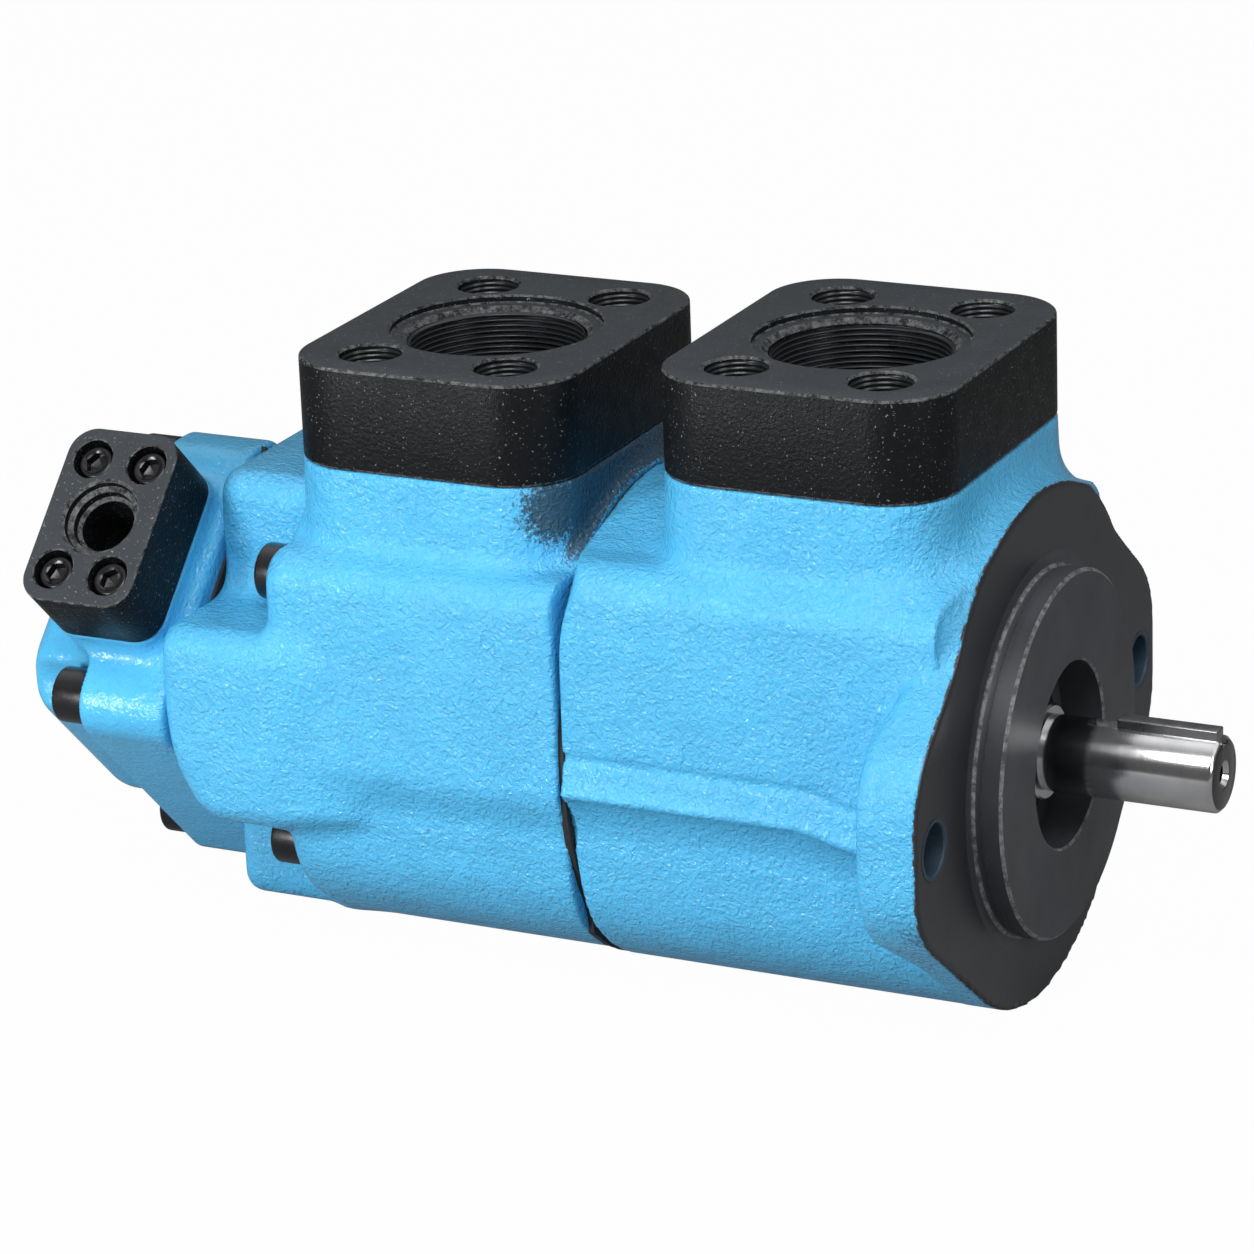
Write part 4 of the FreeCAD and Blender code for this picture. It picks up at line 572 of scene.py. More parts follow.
def middle_casting_field(s, p):
    """Barrel, shoulder, suction neck and four rear lobes, less the suction passage."""
    def field(x, y, z):
        depth = -x
        side = np.abs(y)
        wall = side - waist_line(z, s.middle_half_width, MIDDLE_WAIST)
        barrel = soft_meet(np.hypot(y, z + 1.5) - MIDDLE_BARREL, wall, 8.0 + 10.0 * ease(-z, 20.0, 50.0))
        shoulder = rounded_rectangle(y, z - 45.0, s.middle_half_width, s.middle_shoulder - 45.0, 15.0)
        iron = soft_join(barrel, shoulder, 0.1 + 12.0 * ease(80.0 - side, 0.0, 20.0))
        iron = soft_meet(iron, depth - s.middle_seat, 10.0)
        iron = soft_meet(iron, joint_limit(y, z, depth - s.middle_start, 7.0), MACHINED_EDGE)
        neck = suction_neck(depth - s.rear_port, y, z, 0.02 * (s.rear_pad - z), p)
        taper = 0.22 * np.maximum(LOBE_TAPER_END - depth, 0.0)
        flat = rounded_rectangle(y, z, s.lobe_reach, s.lobe_half_width, 12.0) + taper
        upright = rounded_rectangle(y, z + 3.0, s.lobe_half_width, s.lobe_reach - 3.0, 12.0) + taper
        foot = (depth - s.middle_end + 0.55 * (-z - 16.0)) / 1.14
        lobes = soft_join(soft_meet(flat, foot, 12.0), upright, 16.0)
        lobes = soft_meet(lobes, between(depth, LOBE_START, s.middle_end), 8.0)
        iron = soft_join(iron, lobes, 9.0)
        iron = soft_join(iron, neck, 8.0)
        iron = soft_meet(iron, s.middle_start + 0.4 - depth, 0.6)
        iron = soft_meet(iron, z - s.rear_pad, MACHINED_EDGE)
        passage = np.maximum(np.hypot(depth - s.rear_port, y) - 33.0, NECK_FOOT - z)
        return soft_meet(iron, -passage, 1.0)

    return field


def cover_casting_field(s, p):
    """Bolt bosses, tail and slanted outlet pad, less the pockets for the bolt heads."""
    def field(x, y, z):
        depth = -x
        across = (y + z) * math.sqrt(0.5)
        up = (z - y) * math.sqrt(0.5)
        half = COVER_BOLT * math.sqrt(0.5) + 17.0
        bosses = rounded_rectangle(across, up, half, half, 17.0)
        bosses = soft_meet(bosses, z - 93.0, 5.0)
        bosses = soft_meet(bosses, between(depth, s.cover_start, s.cover_seat), 3.5)
        tail = rounded_rectangle(across, up, TAIL_HALF, TAIL_HALF, 26.0)
        tail = soft_meet(tail, between(depth, TAIL_START, s.cover_end), 17.0)
        pad = np.maximum(outlet_pad(depth - s.outlet_depth, across, p), 30.0 - up)
        iron = soft_join(bosses, tail, 6.0)
        iron = soft_join(iron, pad, 9.0)
        iron = soft_meet(iron, up - s.outlet_pad, MACHINED_EDGE)
        heads = np.minimum(np.hypot(np.abs(y) - COVER_BOLT, z), np.hypot(y, np.abs(z) - COVER_BOLT))
        pocket = np.maximum(heads - BOLT_POCKET, s.cover_seat - depth)
        iron = soft_meet(iron, -pocket, 3.0)
        passage = np.maximum(np.hypot(depth - s.outlet_depth, across) - OUTLET_BORE_ROOM, 42.0 - up)
        return soft_meet(iron, -passage, 1.0)

    return field


def add_casting(name, node, field, low, high, cell):
    """A painted casting from its field, worked out inside a box."""
    shape = field_surface(field, low, high, cell)
    add_piece(name, shape, HOUSING, node, "blue_paint", sharp=None, closed=False)


class PUMP_OT_castings(Operator):
    """Front body, middle body and rear cover as cast surfaces."""

    bl_idname = "pump.castings"
    bl_label = "Castings"

    def execute(self, context):
        s = in_mm(context.scene.pump_castings)
        p = in_mm(context.scene.pump_ports)
        add_casting(
            "front_casting", "front_body", front_casting_field(s, p),
            (-s.front_end - 4.0, -140.0, -112.0), (4.0, 140.0, 130.0), s.cell,
        )
        add_casting(
            "middle_casting", "middle_body", middle_casting_field(s, p),
            (-s.middle_end - 4.0, -108.0, -112.0), (-s.middle_start + 4.0, 108.0, 120.0), s.cell,
        )
        add_casting(
            "cover_casting", "rear_cover", cover_casting_field(s, p),
            (-s.cover_end - 4.0, -108.0, -108.0), (-s.cover_start + 4.0, 108.0, 108.0), s.cell * 0.8,
        )
        return {"FINISHED"}


def gasket_ring(start, end, radius, rough, seed):
    """A gasket's rim: r = outline radius + three sine waves of the angle with drawn phases."""
    draw = np.random.default_rng(seed)
    angle = np.linspace(0.0, FULL_TURN, 360, endpoint=False)
    wave = np.zeros_like(angle)
    for turns in (3, 7, 13, 29, 47, 83):
        wave += rough / math.sqrt(turns) * np.sin(turns * angle + draw.uniform(0.0, FULL_TURN))
    rim = radius(angle) + wave
    rows = []
    hole, face = np.full_like(rim, GASKET_HOLE), rim - 0.6
    levels = ((start, hole), (start, face), (start - 0.2, rim), (end + 0.2, rim), (end, face), (end, hole))
    for x, r in levels:
        rows.append(np.stack([np.full_like(r, x), r * np.sin(angle), r * np.cos(angle)], axis=1))
    points = np.concatenate(rows)
    return points, grid_faces(len(rows), len(angle), wrap_columns=True)


class PUMP_OT_gaskets(Operator):
    """Ragged gaskets between the castings."""

    bl_idname = "pump.gaskets"
    bl_label = "Gaskets"

    def execute(self, context):
        s = in_mm(context.scene.pump_castings)

        def parting(angle):
            """Circle of the barrel, flattened where it meets the side walls."""
            disc = 100.8 + 2.7 * (1.0 - np.cos(angle))
            across = np.maximum(np.abs(np.sin(angle)), 0.05)
            wall = 91.9 / across
            for _ in range(6):
                wall = np.clip((91.9 - SIDE_CURVE * (wall * np.cos(angle)) ** 2) / across, 60.0, 130.0)
            return np.minimum(disc, wall)

        def cover_line(angle):
            """Rounded square of the cover and the lobes, whichever is smaller."""
            turned = np.abs(angle % (math.pi / 2) - math.pi / 4)
            return np.minimum(65.5 / np.cos(turned), 92.8)

        shape = gasket_ring(-s.front_end + 1.2, -s.middle_start - 1.2, parting, 0.5, 4)
        add_piece("parting_gasket", shape, HOUSING, "body_gasket", "gasket")
        shape = gasket_ring(-s.middle_end + 1.0, -s.cover_start - 1.0, cover_line, 0.3, 7)
        add_piece("cover_joint_gasket", shape, HOUSING, "cover_gasket", "gasket")
        return {"FINISHED"}


# Port blocks

def hole_cutter(places, profile, steps=64):
    """Cutters turned from one (height, radius) profile, standing at several places."""
    shapes = []
    for u, v in places:
        points, faces = closed_lathe(profile, steps)
        shapes.append((stand_up(points) + np.array([u, v, 0.0]), faces))
    return join_shapes(shapes)


def corners(along, across):
    """The four corners of a rectangle round the origin."""
    return [(a * along / 2, b * across / 2) for a in (-1, 1) for b in (-1, 1)]


def thread_surface(low, high, crest, root, pitch, steps=120, rise=0.27):
    """Inner thread: r goes between root and crest with a triangle wave of height / pitch - turns."""
    angle = np.linspace(0.0, FULL_TURN, steps, endpoint=False)
    height = np.arange(low, high, rise)[:, None]
    phase = (height / pitch - angle / FULL_TURN) % 1.0
    wave = np.clip(np.abs(phase * 2.0 - 1.0) * 1.5 - 0.25, 0.0, 1.0)
    r = crest + (root - crest) * wave
    points = np.stack([r * np.sin(angle), r * np.cos(angle), height + 0.0 * r], axis=-1)
    return points.reshape(-1, 3), grid_faces(len(height), len(angle), wrap_columns=True)[:, ::-1]


def socket_screw(radius, steps=48):
    """Head of a socket screw standing on z = 0, twice the shank's radius high, with its shank below."""
    head = radius * 1.5
    height = radius * 2.0
    edge = radius * 0.2
    hexagon = radius * 0.875
    bend = np.linspace(0.0, math.pi / 2, 5)
    profile = [(-radius * 1.2, radius), (0.0, radius), (0.0, head - 0.3), (0.3, head)]
    profile += [(height - edge + edge * math.sin(a), head - edge + edge * math.cos(a)) for a in bend]
    rim = hexagon / math.cos(math.pi / 6) + 0.35
    profile += [(height, rim + 0.5), (height - 0.5, rim)]
    points, faces = lathe(profile, steps)
    points = stand_up(points)
    angle = np.arange(steps) * FULL_TURN / steps
    flat = np.abs((angle + math.pi / 6) % (math.pi / 3) - math.pi / 6)
    r = hexagon / np.cos(flat)
    rows = []
    for level, scale in ((height - 0.9, 1.0), (height - radius, 1.0), (height - radius * 1.25, 0.15)):
        ring = r * scale
        rows.append(np.stack([ring * np.sin(angle), ring * np.cos(angle), np.full(steps, level)], axis=1))
    start = len(profile) - 1
    points = np.concatenate([points] + rows)
    inner = grid_faces(len(rows) + 1, steps, wrap_columns=True) + start * steps
    last = (start + len(rows)) * steps
    bottom = list(range(steps))[::-1]
    return points, faces.tolist() + inner.tolist() + [list(range(last, last + steps)), bottom]


def screw_set(places, radius, seat, turn=0.0):
    """Socket screws at several places, each with its hexagon at its own angle."""
    shapes = []
    for number, (u, v) in enumerate(places):
        points, faces = socket_screw(radius)
        points = turn_points(points, turn + number * 0.7, "Z", (u, v, seat))
        shapes.append((points, faces))
    return join_shapes(shapes)


def place_block(shape, depth, tilt):
    """Move a shape that stands on the origin to its port: back along the shaft, then leaning."""
    points, faces = shape
    points = np.asarray(points) - np.array([depth, 0.0, 0.0])
    return turn_points(points, tilt), faces


class PUMP_OT_suction_ports(Operator):
    """Suction blocks with threaded ports, and the screws that hold them."""

    bl_idname = "pump.suction_ports"
    bl_label = "Suction ports"

    def execute(self, context):
        s = in_mm(context.scene.pump_castings)
        p = in_mm(context.scene.pump_ports)
        places = corners(p.suction_along, p.suction_across)
        for name, depth, base in (("front", s.front_port, s.front_pad), ("rear", s.rear_port, s.rear_pad)):
            node = name + "_suction_block"
            top = base + p.suction_height
            block = rounded_block(
                p.suction_length / 2, p.suction_width / 2, base, top, p.suction_corner, 1.3, steps=20
            )
            piece = add_mesh(name + "_suction_port", *place_block(block, depth, 0.0))
            port = [
                (base - 2.0, p.thread_root),
                (top - p.recess_depth - 2.2, p.thread_root),
                (top - p.recess_depth, p.thread_root + 2.4),
                (top - p.recess_depth, p.recess_radius - 0.8),
                (top - p.recess_depth + 0.6, p.recess_radius),
                (top - 0.8, p.recess_radius),
                (top + 0.4, p.recess_radius + 1.2),
                (top + 3.0, p.recess_radius + 1.2),
            ]
            carve(piece, place_block(hole_cutter([(0.0, 0.0)], port, 120), depth, 0.0))
            head = p.large_screw * 1.5 + 1.0
            sink = 30.0
            holes = [
                (base - 2.0, p.large_screw + 0.75),
                (top - sink, p.large_screw + 0.75),
                (top - sink, head),
                (top - 1.1, head),
                (top + 0.4, head + 1.5),
                (top + 3.0, head + 1.5),
            ]
            carve(piece, place_block(hole_cutter(places, holes), depth, 0.0))
            mark_faces(piece, (0.0, 0.0, 1.0))
            dress(piece, HOUSING, node, "black_oxide")
            thread_top = top - p.recess_depth - 2.0
            thread = thread_surface(base, thread_top, p.thread_crest, p.thread_root, p.thread_pitch)
            ridges = []
            for u, v in places:
                points, faces = thread_surface(top - sink, top - 1.6, head - 0.7, head - 0.1, 2.1, 72, 0.4)
                ridges.append((points + np.array([u, v, 0.0]), faces))
            for label, shape in (("_port_thread", thread), ("_counterbore_ridges", join_shapes(ridges))):
                add_piece(
                    name + label, place_block(shape, depth, 0.0), HOUSING, node, "black_oxide", "thread",
                    sharp=None, closed=False,
                )
            name += "_suction"
            screws = place_block(screw_set(places, p.large_screw, top - sink, 0.3), depth, 0.0)
            add_piece(name + "_socket_screws", screws, HOUSING, name + "_screws", "screw_steel")
        return {"FINISHED"}


class PUMP_OT_outlet_ports(Operator):
    """Outlet blocks on the slanted pad and on the far side, and their screws."""

    bl_idname = "pump.outlet_ports"
    bl_label = "Outlet ports"

    def execute(self, context):
        s = in_mm(context.scene.pump_castings)
        p = in_mm(context.scene.pump_ports)
        places = corners(p.outlet_along, p.outlet_across)
        sites = (
            ("rear", "rear_cover", s.outlet_depth, s.outlet_pad, math.radians(45.0)),
            ("front", "front_body", s.far_outlet_depth, s.far_outlet_pad, math.radians(-90.0)),
        )
        for name, body_node, depth, base, tilt in sites:
            top = base + p.outlet_height
            block = rounded_block(
                p.outlet_length / 2, p.outlet_width / 2, base, top, p.outlet_corner, 0.9, steps=14
            )
            piece = add_mesh(name + "_outlet_port", *place_block(block, depth, tilt))
            port = [
                (base - 2.0, p.outlet_bore),
                (top - 9.0, p.outlet_bore),
                (top - 7.6, p.outlet_bore + 1.6),
                (top - 4.6, p.outlet_bore + 2.0),
                (top - 3.6, p.outlet_socket - 0.9),
                (top - 1.2, p.outlet_socket - 0.5),
                (top - 0.9, p.outlet_socket),
                (top + 0.2, p.outlet_socket + 1.0),
                (top + 3.0, p.outlet_socket + 0.8),
            ]
            carve(piece, place_block(hole_cutter([(0.0, 0.0)], port, 96), depth, tilt))
            head = p.small_screw * 1.5 + 1.5
            sink = 13.0
            holes = [
                (base - 2.0, p.small_screw + 0.5),
                (top - sink, p.small_screw + 0.5),
                (top - sink, head),
                (top - 0.6, head),
                (top + 0.2, head + 0.8),
                (top + 3.0, head + 0.8),
            ]
            carve(piece, place_block(hole_cutter(places, holes), depth, tilt))
            mark_faces(piece, (0.0, -math.sin(tilt), math.cos(tilt)))
            dress(piece, HOUSING, name + "_outlet_block", "black_oxide")
            # A dark cup lines the outlet bore down into the casting; its closed bottom is painted shade
            # where the passage runs on into the pump.
            low, high = base - 29.0, base + 3.0
            outer, inner = p.outlet_bore + 1.0, p.outlet_bore - 0.1
            bore_liner_and_shade_stop = [(low, POLE), (low, outer), (high, outer)]
            bore_liner_and_shade_stop += [(high, inner), (low + 1.0, inner), (low + 1.0, POLE)]
            points, faces = lathe(bore_liner_and_shade_stop, 64)
            bore_liner_and_shade_stop = place_block((stand_up(points), faces), depth, tilt)
            name += "_outlet"
            add_piece(name + "_passage_liner_and_shade_stop", bore_liner_and_shade_stop, HOUSING, body_node, "black_oxide", "thread")
            screws = place_block(screw_set(places, p.small_screw, top - sink, 0.2), depth, tilt)
            add_piece(name + "_socket_screws", screws, HOUSING, name + "_screws", "screw_steel")
        return {"FINISHED"}


def lay_back(shape):
    """Turn a shape that stands on Z so that its top points to the rear of the pump."""
    points, faces = shape
    points = np.asarray(points)
    return np.stack([-points[:, 2], points[:, 1], points[:, 0]], axis=1), faces


class PUMP_OT_housing_bolts(Operator):
    """Heads of the body bolts and cover bolts at the rear."""

    bl_idname = "pump.housing_bolts"
    bl_label = "Housing bolts"

    def execute(self, context):
        s = in_mm(context.scene.pump_castings)
        p = in_mm(context.scene.pump_ports)
        cross = [(COVER_BOLT, 0.0), (-COVER_BOLT, 0.0), (0.0, COVER_BOLT), (0.0, -COVER_BOLT)]
        for name, places, seat in (
            ("body", corners(BODY_BOLT * 2, BODY_BOLT * 2), s.middle_seat),
            ("cover", cross, s.cover_seat),
        ):
            screws = lay_back(screw_set(places, p.large_screw, seat, 0.15))
            add_piece(name + "_bolt_heads", screws, HOUSING, name + "_bolts", "screw_steel")
        return {"FINISHED"}


# Shaft, seal and pilot

class PUMP_OT_pilot(Operator):
    """Machined centring spigot with its throat, and the walls of the mounting holes."""

    bl_idname = "pump.pilot"
    bl_label = "Pilot and mounting holes"

    def execute(self, context):
        f = in_mm(context.scene.pump_shaft)
        bend = np.linspace(0.0, math.pi / 2, 6)
        root = 2.0
        relief = f.pilot_radius - 0.7
        profile = [(-28.0, 27.0), (-20.0, 27.0), (-20.0, 31.0), (-6.0, 31.0), (-6.0, f.throat_radius)]
        profile += [(f.pilot_length - 0.9, f.throat_radius), (f.pilot_length, f.throat_radius + 0.9)]
        profile += [(f.pilot_length, f.pilot_radius - 1.4), (f.pilot_length - 1.2, f.pilot_radius)]
        profile += [(4.4, f.pilot_radius), (3.9, relief), (3.2, relief)]
        profile += [(root - root * math.sin(a), relief + root - root * math.cos(a)) for a in bend]
        profile += [(0.03, f.pilot_radius + 6.0)]
        points, faces = lathe(profile, 160)
        piece = add_mesh("pilot_spigot", points, faces, sharp=math.radians(24.0), closed=False)
        mark_faces(piece, (1.0, 0.0, 0.0))
        dress(piece, HOUSING, "front_body", "black_oxide", "machined")
        wall = [(0.03, 12.6), (0.03, 11.0), (-0.6, 10.5), (-22.5, 10.5), (-22.5, 11.2)]
        shapes = []
        for y in (-MOUNTING_HOLE, MOUNTING_HOLE):
            points, faces = lathe(wall, 64, (y, 0.0))
            shapes.append((points, faces[:, ::-1]))
        walls = join_shapes(shapes)
        add_piece("mounting_hole_walls", walls, HOUSING, "front_body", "black_oxide", "hole", closed=False)
        return {"FINISHED"}


class PUMP_OT_shaft(Operator):
    """Drive shaft with collar, keyway and tapped centre hole, and its key."""

    bl_idname = "pump.shaft"
    bl_label = "Shaft and key"

    def execute(self, context):
        f = in_mm(context.scene.pump_shaft)
        profile = [
            (f.reach - 24.0, POLE),
            (f.reach - 22.0, 4.25),
            (f.reach - 2.2, 4.25),
            (f.reach - 0.3, 5.9),
            (f.reach, 6.2),
            (f.reach, f.radius - 1.9),
            (f.reach - 0.2, f.radius - 1.5),
            (f.reach - 1.5, f.radius - 0.15),
            (f.reach - 2.0, f.radius),
            (5.2, f.radius),
            (4.4, f.radius - 0.3),
            (4.0, f.radius - 0.3),
            (4.0, f.collar - 0.9),
            (3.2, f.collar),
            (-60.0, f.collar),
        ]
        splines = (
            (-110.0, 17.0), (-124.0, 17.0), (-124.0, 16.5), (-206.0, 16.5), (-206.0, 14.5), (-270.0, 14.5),
            (-270.0, 13.8), (-302.0, 13.8), (-302.0, 12.5), (-324.0, 12.5), (-325.0, 11.5), (-325.0, POLE),
        )
        profile += [(-60.0, 17.0)] + list(splines)
        points, faces = lathe(profile[::-1], 128)
        piece = add_mesh("drive_shaft_turned", points, faces)
        floor = f.key_top - f.key_width
        centre = f.keyway_start + f.key_width / 2
        slot = rounded_block(40.0, f.key_width / 2, floor, floor + 12.0, f.key_width / 2 - 0.01, 0.05, 10)
        slot = (slot[0] + np.array([centre + 40.0 - f.key_width / 2, 0.0, 0.0]), slot[1])
        carve(piece, slot)
        dress(piece, ROTATING, "drive_shaft", "shaft_steel")
        half = (f.reach - 1.8 - f.key_start) / 2
        bar = rounded_block(half, f.key_width / 2 - 0.02, floor, f.key_top, 0.5, 0.7, 3)
        bar = (bar[0] + np.array([f.key_start + half, 0.0, 0.0]), bar[1])
        add_piece("square_key", bar, ROTATING, "shaft_key", "hard_steel", "key")
        return {"FINISHED"}


class PUMP_OT_seal(Operator):
    """Pressed case of the shaft seal with its flared front and its lip."""

    bl_idname = "pump.seal"
    bl_label = "Shaft seal"

    def execute(self, context):
        f = in_mm(context.scene.pump_shaft)
        lip = f.collar + 0.15
        profile = [(-19.6, 30.9), (-9.2, 30.9), (-8.4, 30.2), (-8.6, 29.2), (-11.0, 27.6), (-13.8, 25.0)]
        profile += [(-14.6, 23.0), (-13.2, 21.6), (-12.4, lip), (-15.0, lip), (-17.0, 24.0), (-19.6, 27.0)]
        add_piece("shaft_seal_case", ring_lathe(profile[::-1], 128), HOUSING, "shaft_seal", "seal_case")
        return {"FINISHED"}


# Materials

def new_group(name, amount, default, outputs):
    """A shader node group that takes a place and one amount; returns its tree, input and output nodes."""
    group = bpy.data.node_groups.new(name, "ShaderNodeTree")
    group.interface.new_socket(name="Place", in_out="INPUT", socket_type="NodeSocketVector")
    socket = group.interface.new_socket(name=amount, in_out="INPUT", socket_type="NodeSocketFloat")
    socket.default_value = default
    for label in outputs:
        group.interface.new_socket(name=label, in_out="OUTPUT", socket_type="NodeSocketFloat")
    return group, group.nodes.new("NodeGroupInput"), group.nodes.new("NodeGroupOutput")


def plug(tree, content, socket):
    """Link a socket's output into an input, or set the input's value; a colour gets its alpha."""
    if isinstance(content, bpy.types.NodeSocket):
        tree.links.new(content, socket)
    elif socket.type == "RGBA":
        socket.default_value = (*content[:3], 1.0)
    else:
        socket.default_value = content


def add_node(tree, kind, **values):
    """A node with its properties set by name and its inputs by label or number."""
    node = tree.nodes.new(kind)
    for key, value in values.items():
        if key == "inputs":
            for label, content in value.items():
                plug(tree, content, node.inputs[label])
        else:
            setattr(node, key, value)
    return node


def noise(tree, place, scale, detail=3.0, roughness=0.55, distortion=0.0):
    """Cloudy noise round a half."""
    inputs = dict(Vector=place, Scale=scale, Detail=detail, Roughness=roughness, Distortion=distortion)
    return add_node(tree, "ShaderNodeTexNoise", inputs=inputs).outputs["Fac"]


def spread(tree, value, low, high, to_low=0.0, to_high=1.0):
    """A value's range carried onto another range, held at its ends."""
    inputs = {"Value": value, "From Min": low, "From Max": high, "To Min": to_low, "To Max": to_high}
    return add_node(tree, "ShaderNodeMapRange", inputs=inputs).outputs["Result"]


def maths(tree, operation, a, b):
    """Two values joined by an operation."""
    return add_node(tree, "ShaderNodeMath", operation=operation, inputs={0: a, 1: b}).outputs[0]


def product(tree, a, b):
    """One value times another."""
    return maths(tree, "MULTIPLY", a, b)


def mix_colour(tree, share, a, b):
    """Colour a, and colour b by the share."""
    return add_node(tree, "ShaderNodeMix", data_type="RGBA", inputs={0: share, 6: a, 7: b}).outputs[2]


def shades(base, low, high):
    """A darker and a lighter shade of a colour."""
    return [c * low for c in base], [min(1.0, c * high) for c in base]


def object_place(tree):
    """The place on the piece in its own coordinates."""
    return add_node(tree, "ShaderNodeTexCoord").outputs["Object"]


def cast_skin_group():
    """Sand-cast skin under thick enamel: soft lumps, orange peel with ridges and a broad change of tone."""
    group, start, end = new_group("cast skin", "Grain", 300.0, ("Height", "Tone"))
    place, grain = start.outputs["Place"], start.outputs["Grain"]
    lumps = noise(group, place, grain, 2.0, 0.5, 0.6)
    peel = noise(group, place, product(group, grain, 2.0), 2.0, 0.5, 0.8)
    broad = noise(group, place, product(group, grain, 0.12), 2.0)
    height = maths(group, "ADD", lumps, product(group, peel, 0.50))
    height = maths(group, "ADD", height, product(group, broad, 1.2))
    group.links.new(height, end.inputs["Height"])
    group.links.new(broad, end.inputs["Tone"])
    return group


def edge_wear_and_highlight_group():
    """A broken bright line on the faces that are marked as edges: partly edge wear, partly a painted
    highlight on the chamfers.
    """
    group, start, end = new_group("edge wear and painted highlight", "Amount", 0.5, ("Wear and highlight",))
    edge = add_node(group, "ShaderNodeAttribute", attribute_name="edge").outputs["Fac"]
    broken = spread(group, noise(group, start.outputs["Place"], 260.0, 5.0, 0.75), 0.40, 0.62)
    # Partly edge wear, partly painted highlight: chamfers and cones are lightened as if they caught the
    # light.
    wear_and_highlight = product(group, product(group, edge, broken), start.outputs["Amount"])
    group.links.new(wear_and_highlight, end.inputs["Wear and highlight"])
    return group


GROUP_MAKERS = {"cast skin": cast_skin_group, "edge wear and painted highlight": edge_wear_and_highlight_group}


def effect(tree, name, **inputs):
    """A shared effect placed in a material with its own values."""
    group = bpy.data.node_groups.get(name) or GROUP_MAKERS[name]()
    node = tree.nodes.new("ShaderNodeGroup")
    node.node_tree = group
    for label, content in inputs.items():
        plug(tree, content, node.inputs[label])
    return node.outputs


def new_material(name):
    """A material with its tree and its Principled shader."""
    material = bpy.data.materials.new(name)
    material.use_nodes = True
    return material, material.node_tree, material.node_tree.nodes["Principled BSDF"]


def wire(tree, shader, **inputs):
    """Feed or set the shader's sockets; words in a name are parted by underscores."""
    for key, content in inputs.items():
        plug(tree, content, shader.inputs[key.replace("_", " ")])


def bump(tree, height, strength, distance):
    """The normal of a surface with a height pattern."""
    inputs = dict(Height=height, Strength=strength, Distance=distance)
    return add_node(tree, "ShaderNodeBump", inputs=inputs).outputs["Normal"]


def near_point(tree, place, point, inner, outer):
    """1 close to a point and 0 far from it."""
    gap = add_node(tree, "ShaderNodeVectorMath", operation="DISTANCE", inputs={0: place, 1: point})
    return spread(tree, gap.outputs["Value"], outer, inner)


def paint_material(scene):
    """Sky blue enamel on rough iron; machined where the mounting face is, with a ragged paint edge."""
    colours = scene.pump_castings
    material, tree, shader = new_material("sky blue enamel")
    place = object_place(tree)
    skin = effect(tree, "cast skin", Place=place, Grain=400.0)
    axes = add_node(tree, "ShaderNodeSeparateXYZ", inputs={"Vector": place}).outputs
    x, z = axes["X"], axes["Z"]
    tone = spread(tree, skin["Tone"], 0.3, 0.7)
    painted = mix_colour(tree, tone, *shades(colours.paint, 0.96, 1.05))

    # Dark speckled patches: soot near the neck corner and the ear foot, and painted shade in the gap between
    # the front and middle necks.
    fleck = noise(tree, place, 620.0, 4.0, 0.75)
    corner = near_point(tree, place, (-0.183, -0.066, 0.104), 0.004, 0.024)
    foot = near_point(tree, place, (-0.003, -0.128, -0.034), 0.002, 0.016)
    # Painted shade: the gap between the front and middle necks, high up, is darkened with the soot colour.
    gap = product(tree, spread(tree, x, -0.1812, -0.1785), spread(tree, x, -0.1725, -0.1745))
    gap = product(tree, gap, spread(tree, z, 0.078, 0.088))
    smear_and_gap_shade = 0.0
    for mask, share, low, high in (
        (corner, 0.55, 0.70, 0.84),
        (gap, 0.42, 0.62, 0.80),
        (foot, 0.30, 0.68, 0.90),
    ):
        speckled = maths(tree, "ADD", fleck, product(tree, mask, share))
        smear_and_gap_shade = maths(tree, "MAXIMUM", smear_and_gap_shade, spread(tree, speckled, low, high))
    painted = mix_colour(tree, product(tree, smear_and_gap_shade, 0.9), painted, colours.soot_and_shade)

    ragged = maths(tree, "SUBTRACT", noise(tree, place, 330.0, 5.0, 0.6), 0.5)
    edge = maths(tree, "ADD", x, product(tree, ragged, 0.0013))
    patchy = spread(tree, noise(tree, place, 190.0), 0.42, 0.55)
    rust = product(tree, spread(tree, edge, -0.0016, -0.0012), patchy)
    painted = mix_colour(tree, rust, painted, (0.06, 0.04, 0.025))

    bare = spread(tree, edge, -0.0010, -0.0007)
    iron = shades(scene.pump_shaft.machined, 0.85, 1.15)
    machined = mix_colour(tree, noise(tree, place, 40.0, 4.0), *iron)
    base = mix_colour(tree, bare, painted, machined)
    wet = spread(tree, noise(tree, place, 90.0, 3.0), 0.3, 0.7, 0.08, 0.15)
    rough = add_node(tree, "ShaderNodeMix", inputs={0: bare, 2: wet, 3: 0.36}).outputs[0]
    smooth = spread(tree, x, -0.372, -0.345, 0.4, 1.0)
    strength = product(tree, smooth, spread(tree, bare, 0.0, 1.0, 1.0, 0.03))
    wire(
        tree, shader, Base_Color=base, Roughness=rough, Metallic=spread(tree, bare, 0.0, 1.0, 0.0, 0.6),
        Normal=bump(tree, skin["Height"], strength, 0.0013),
    )
    return material


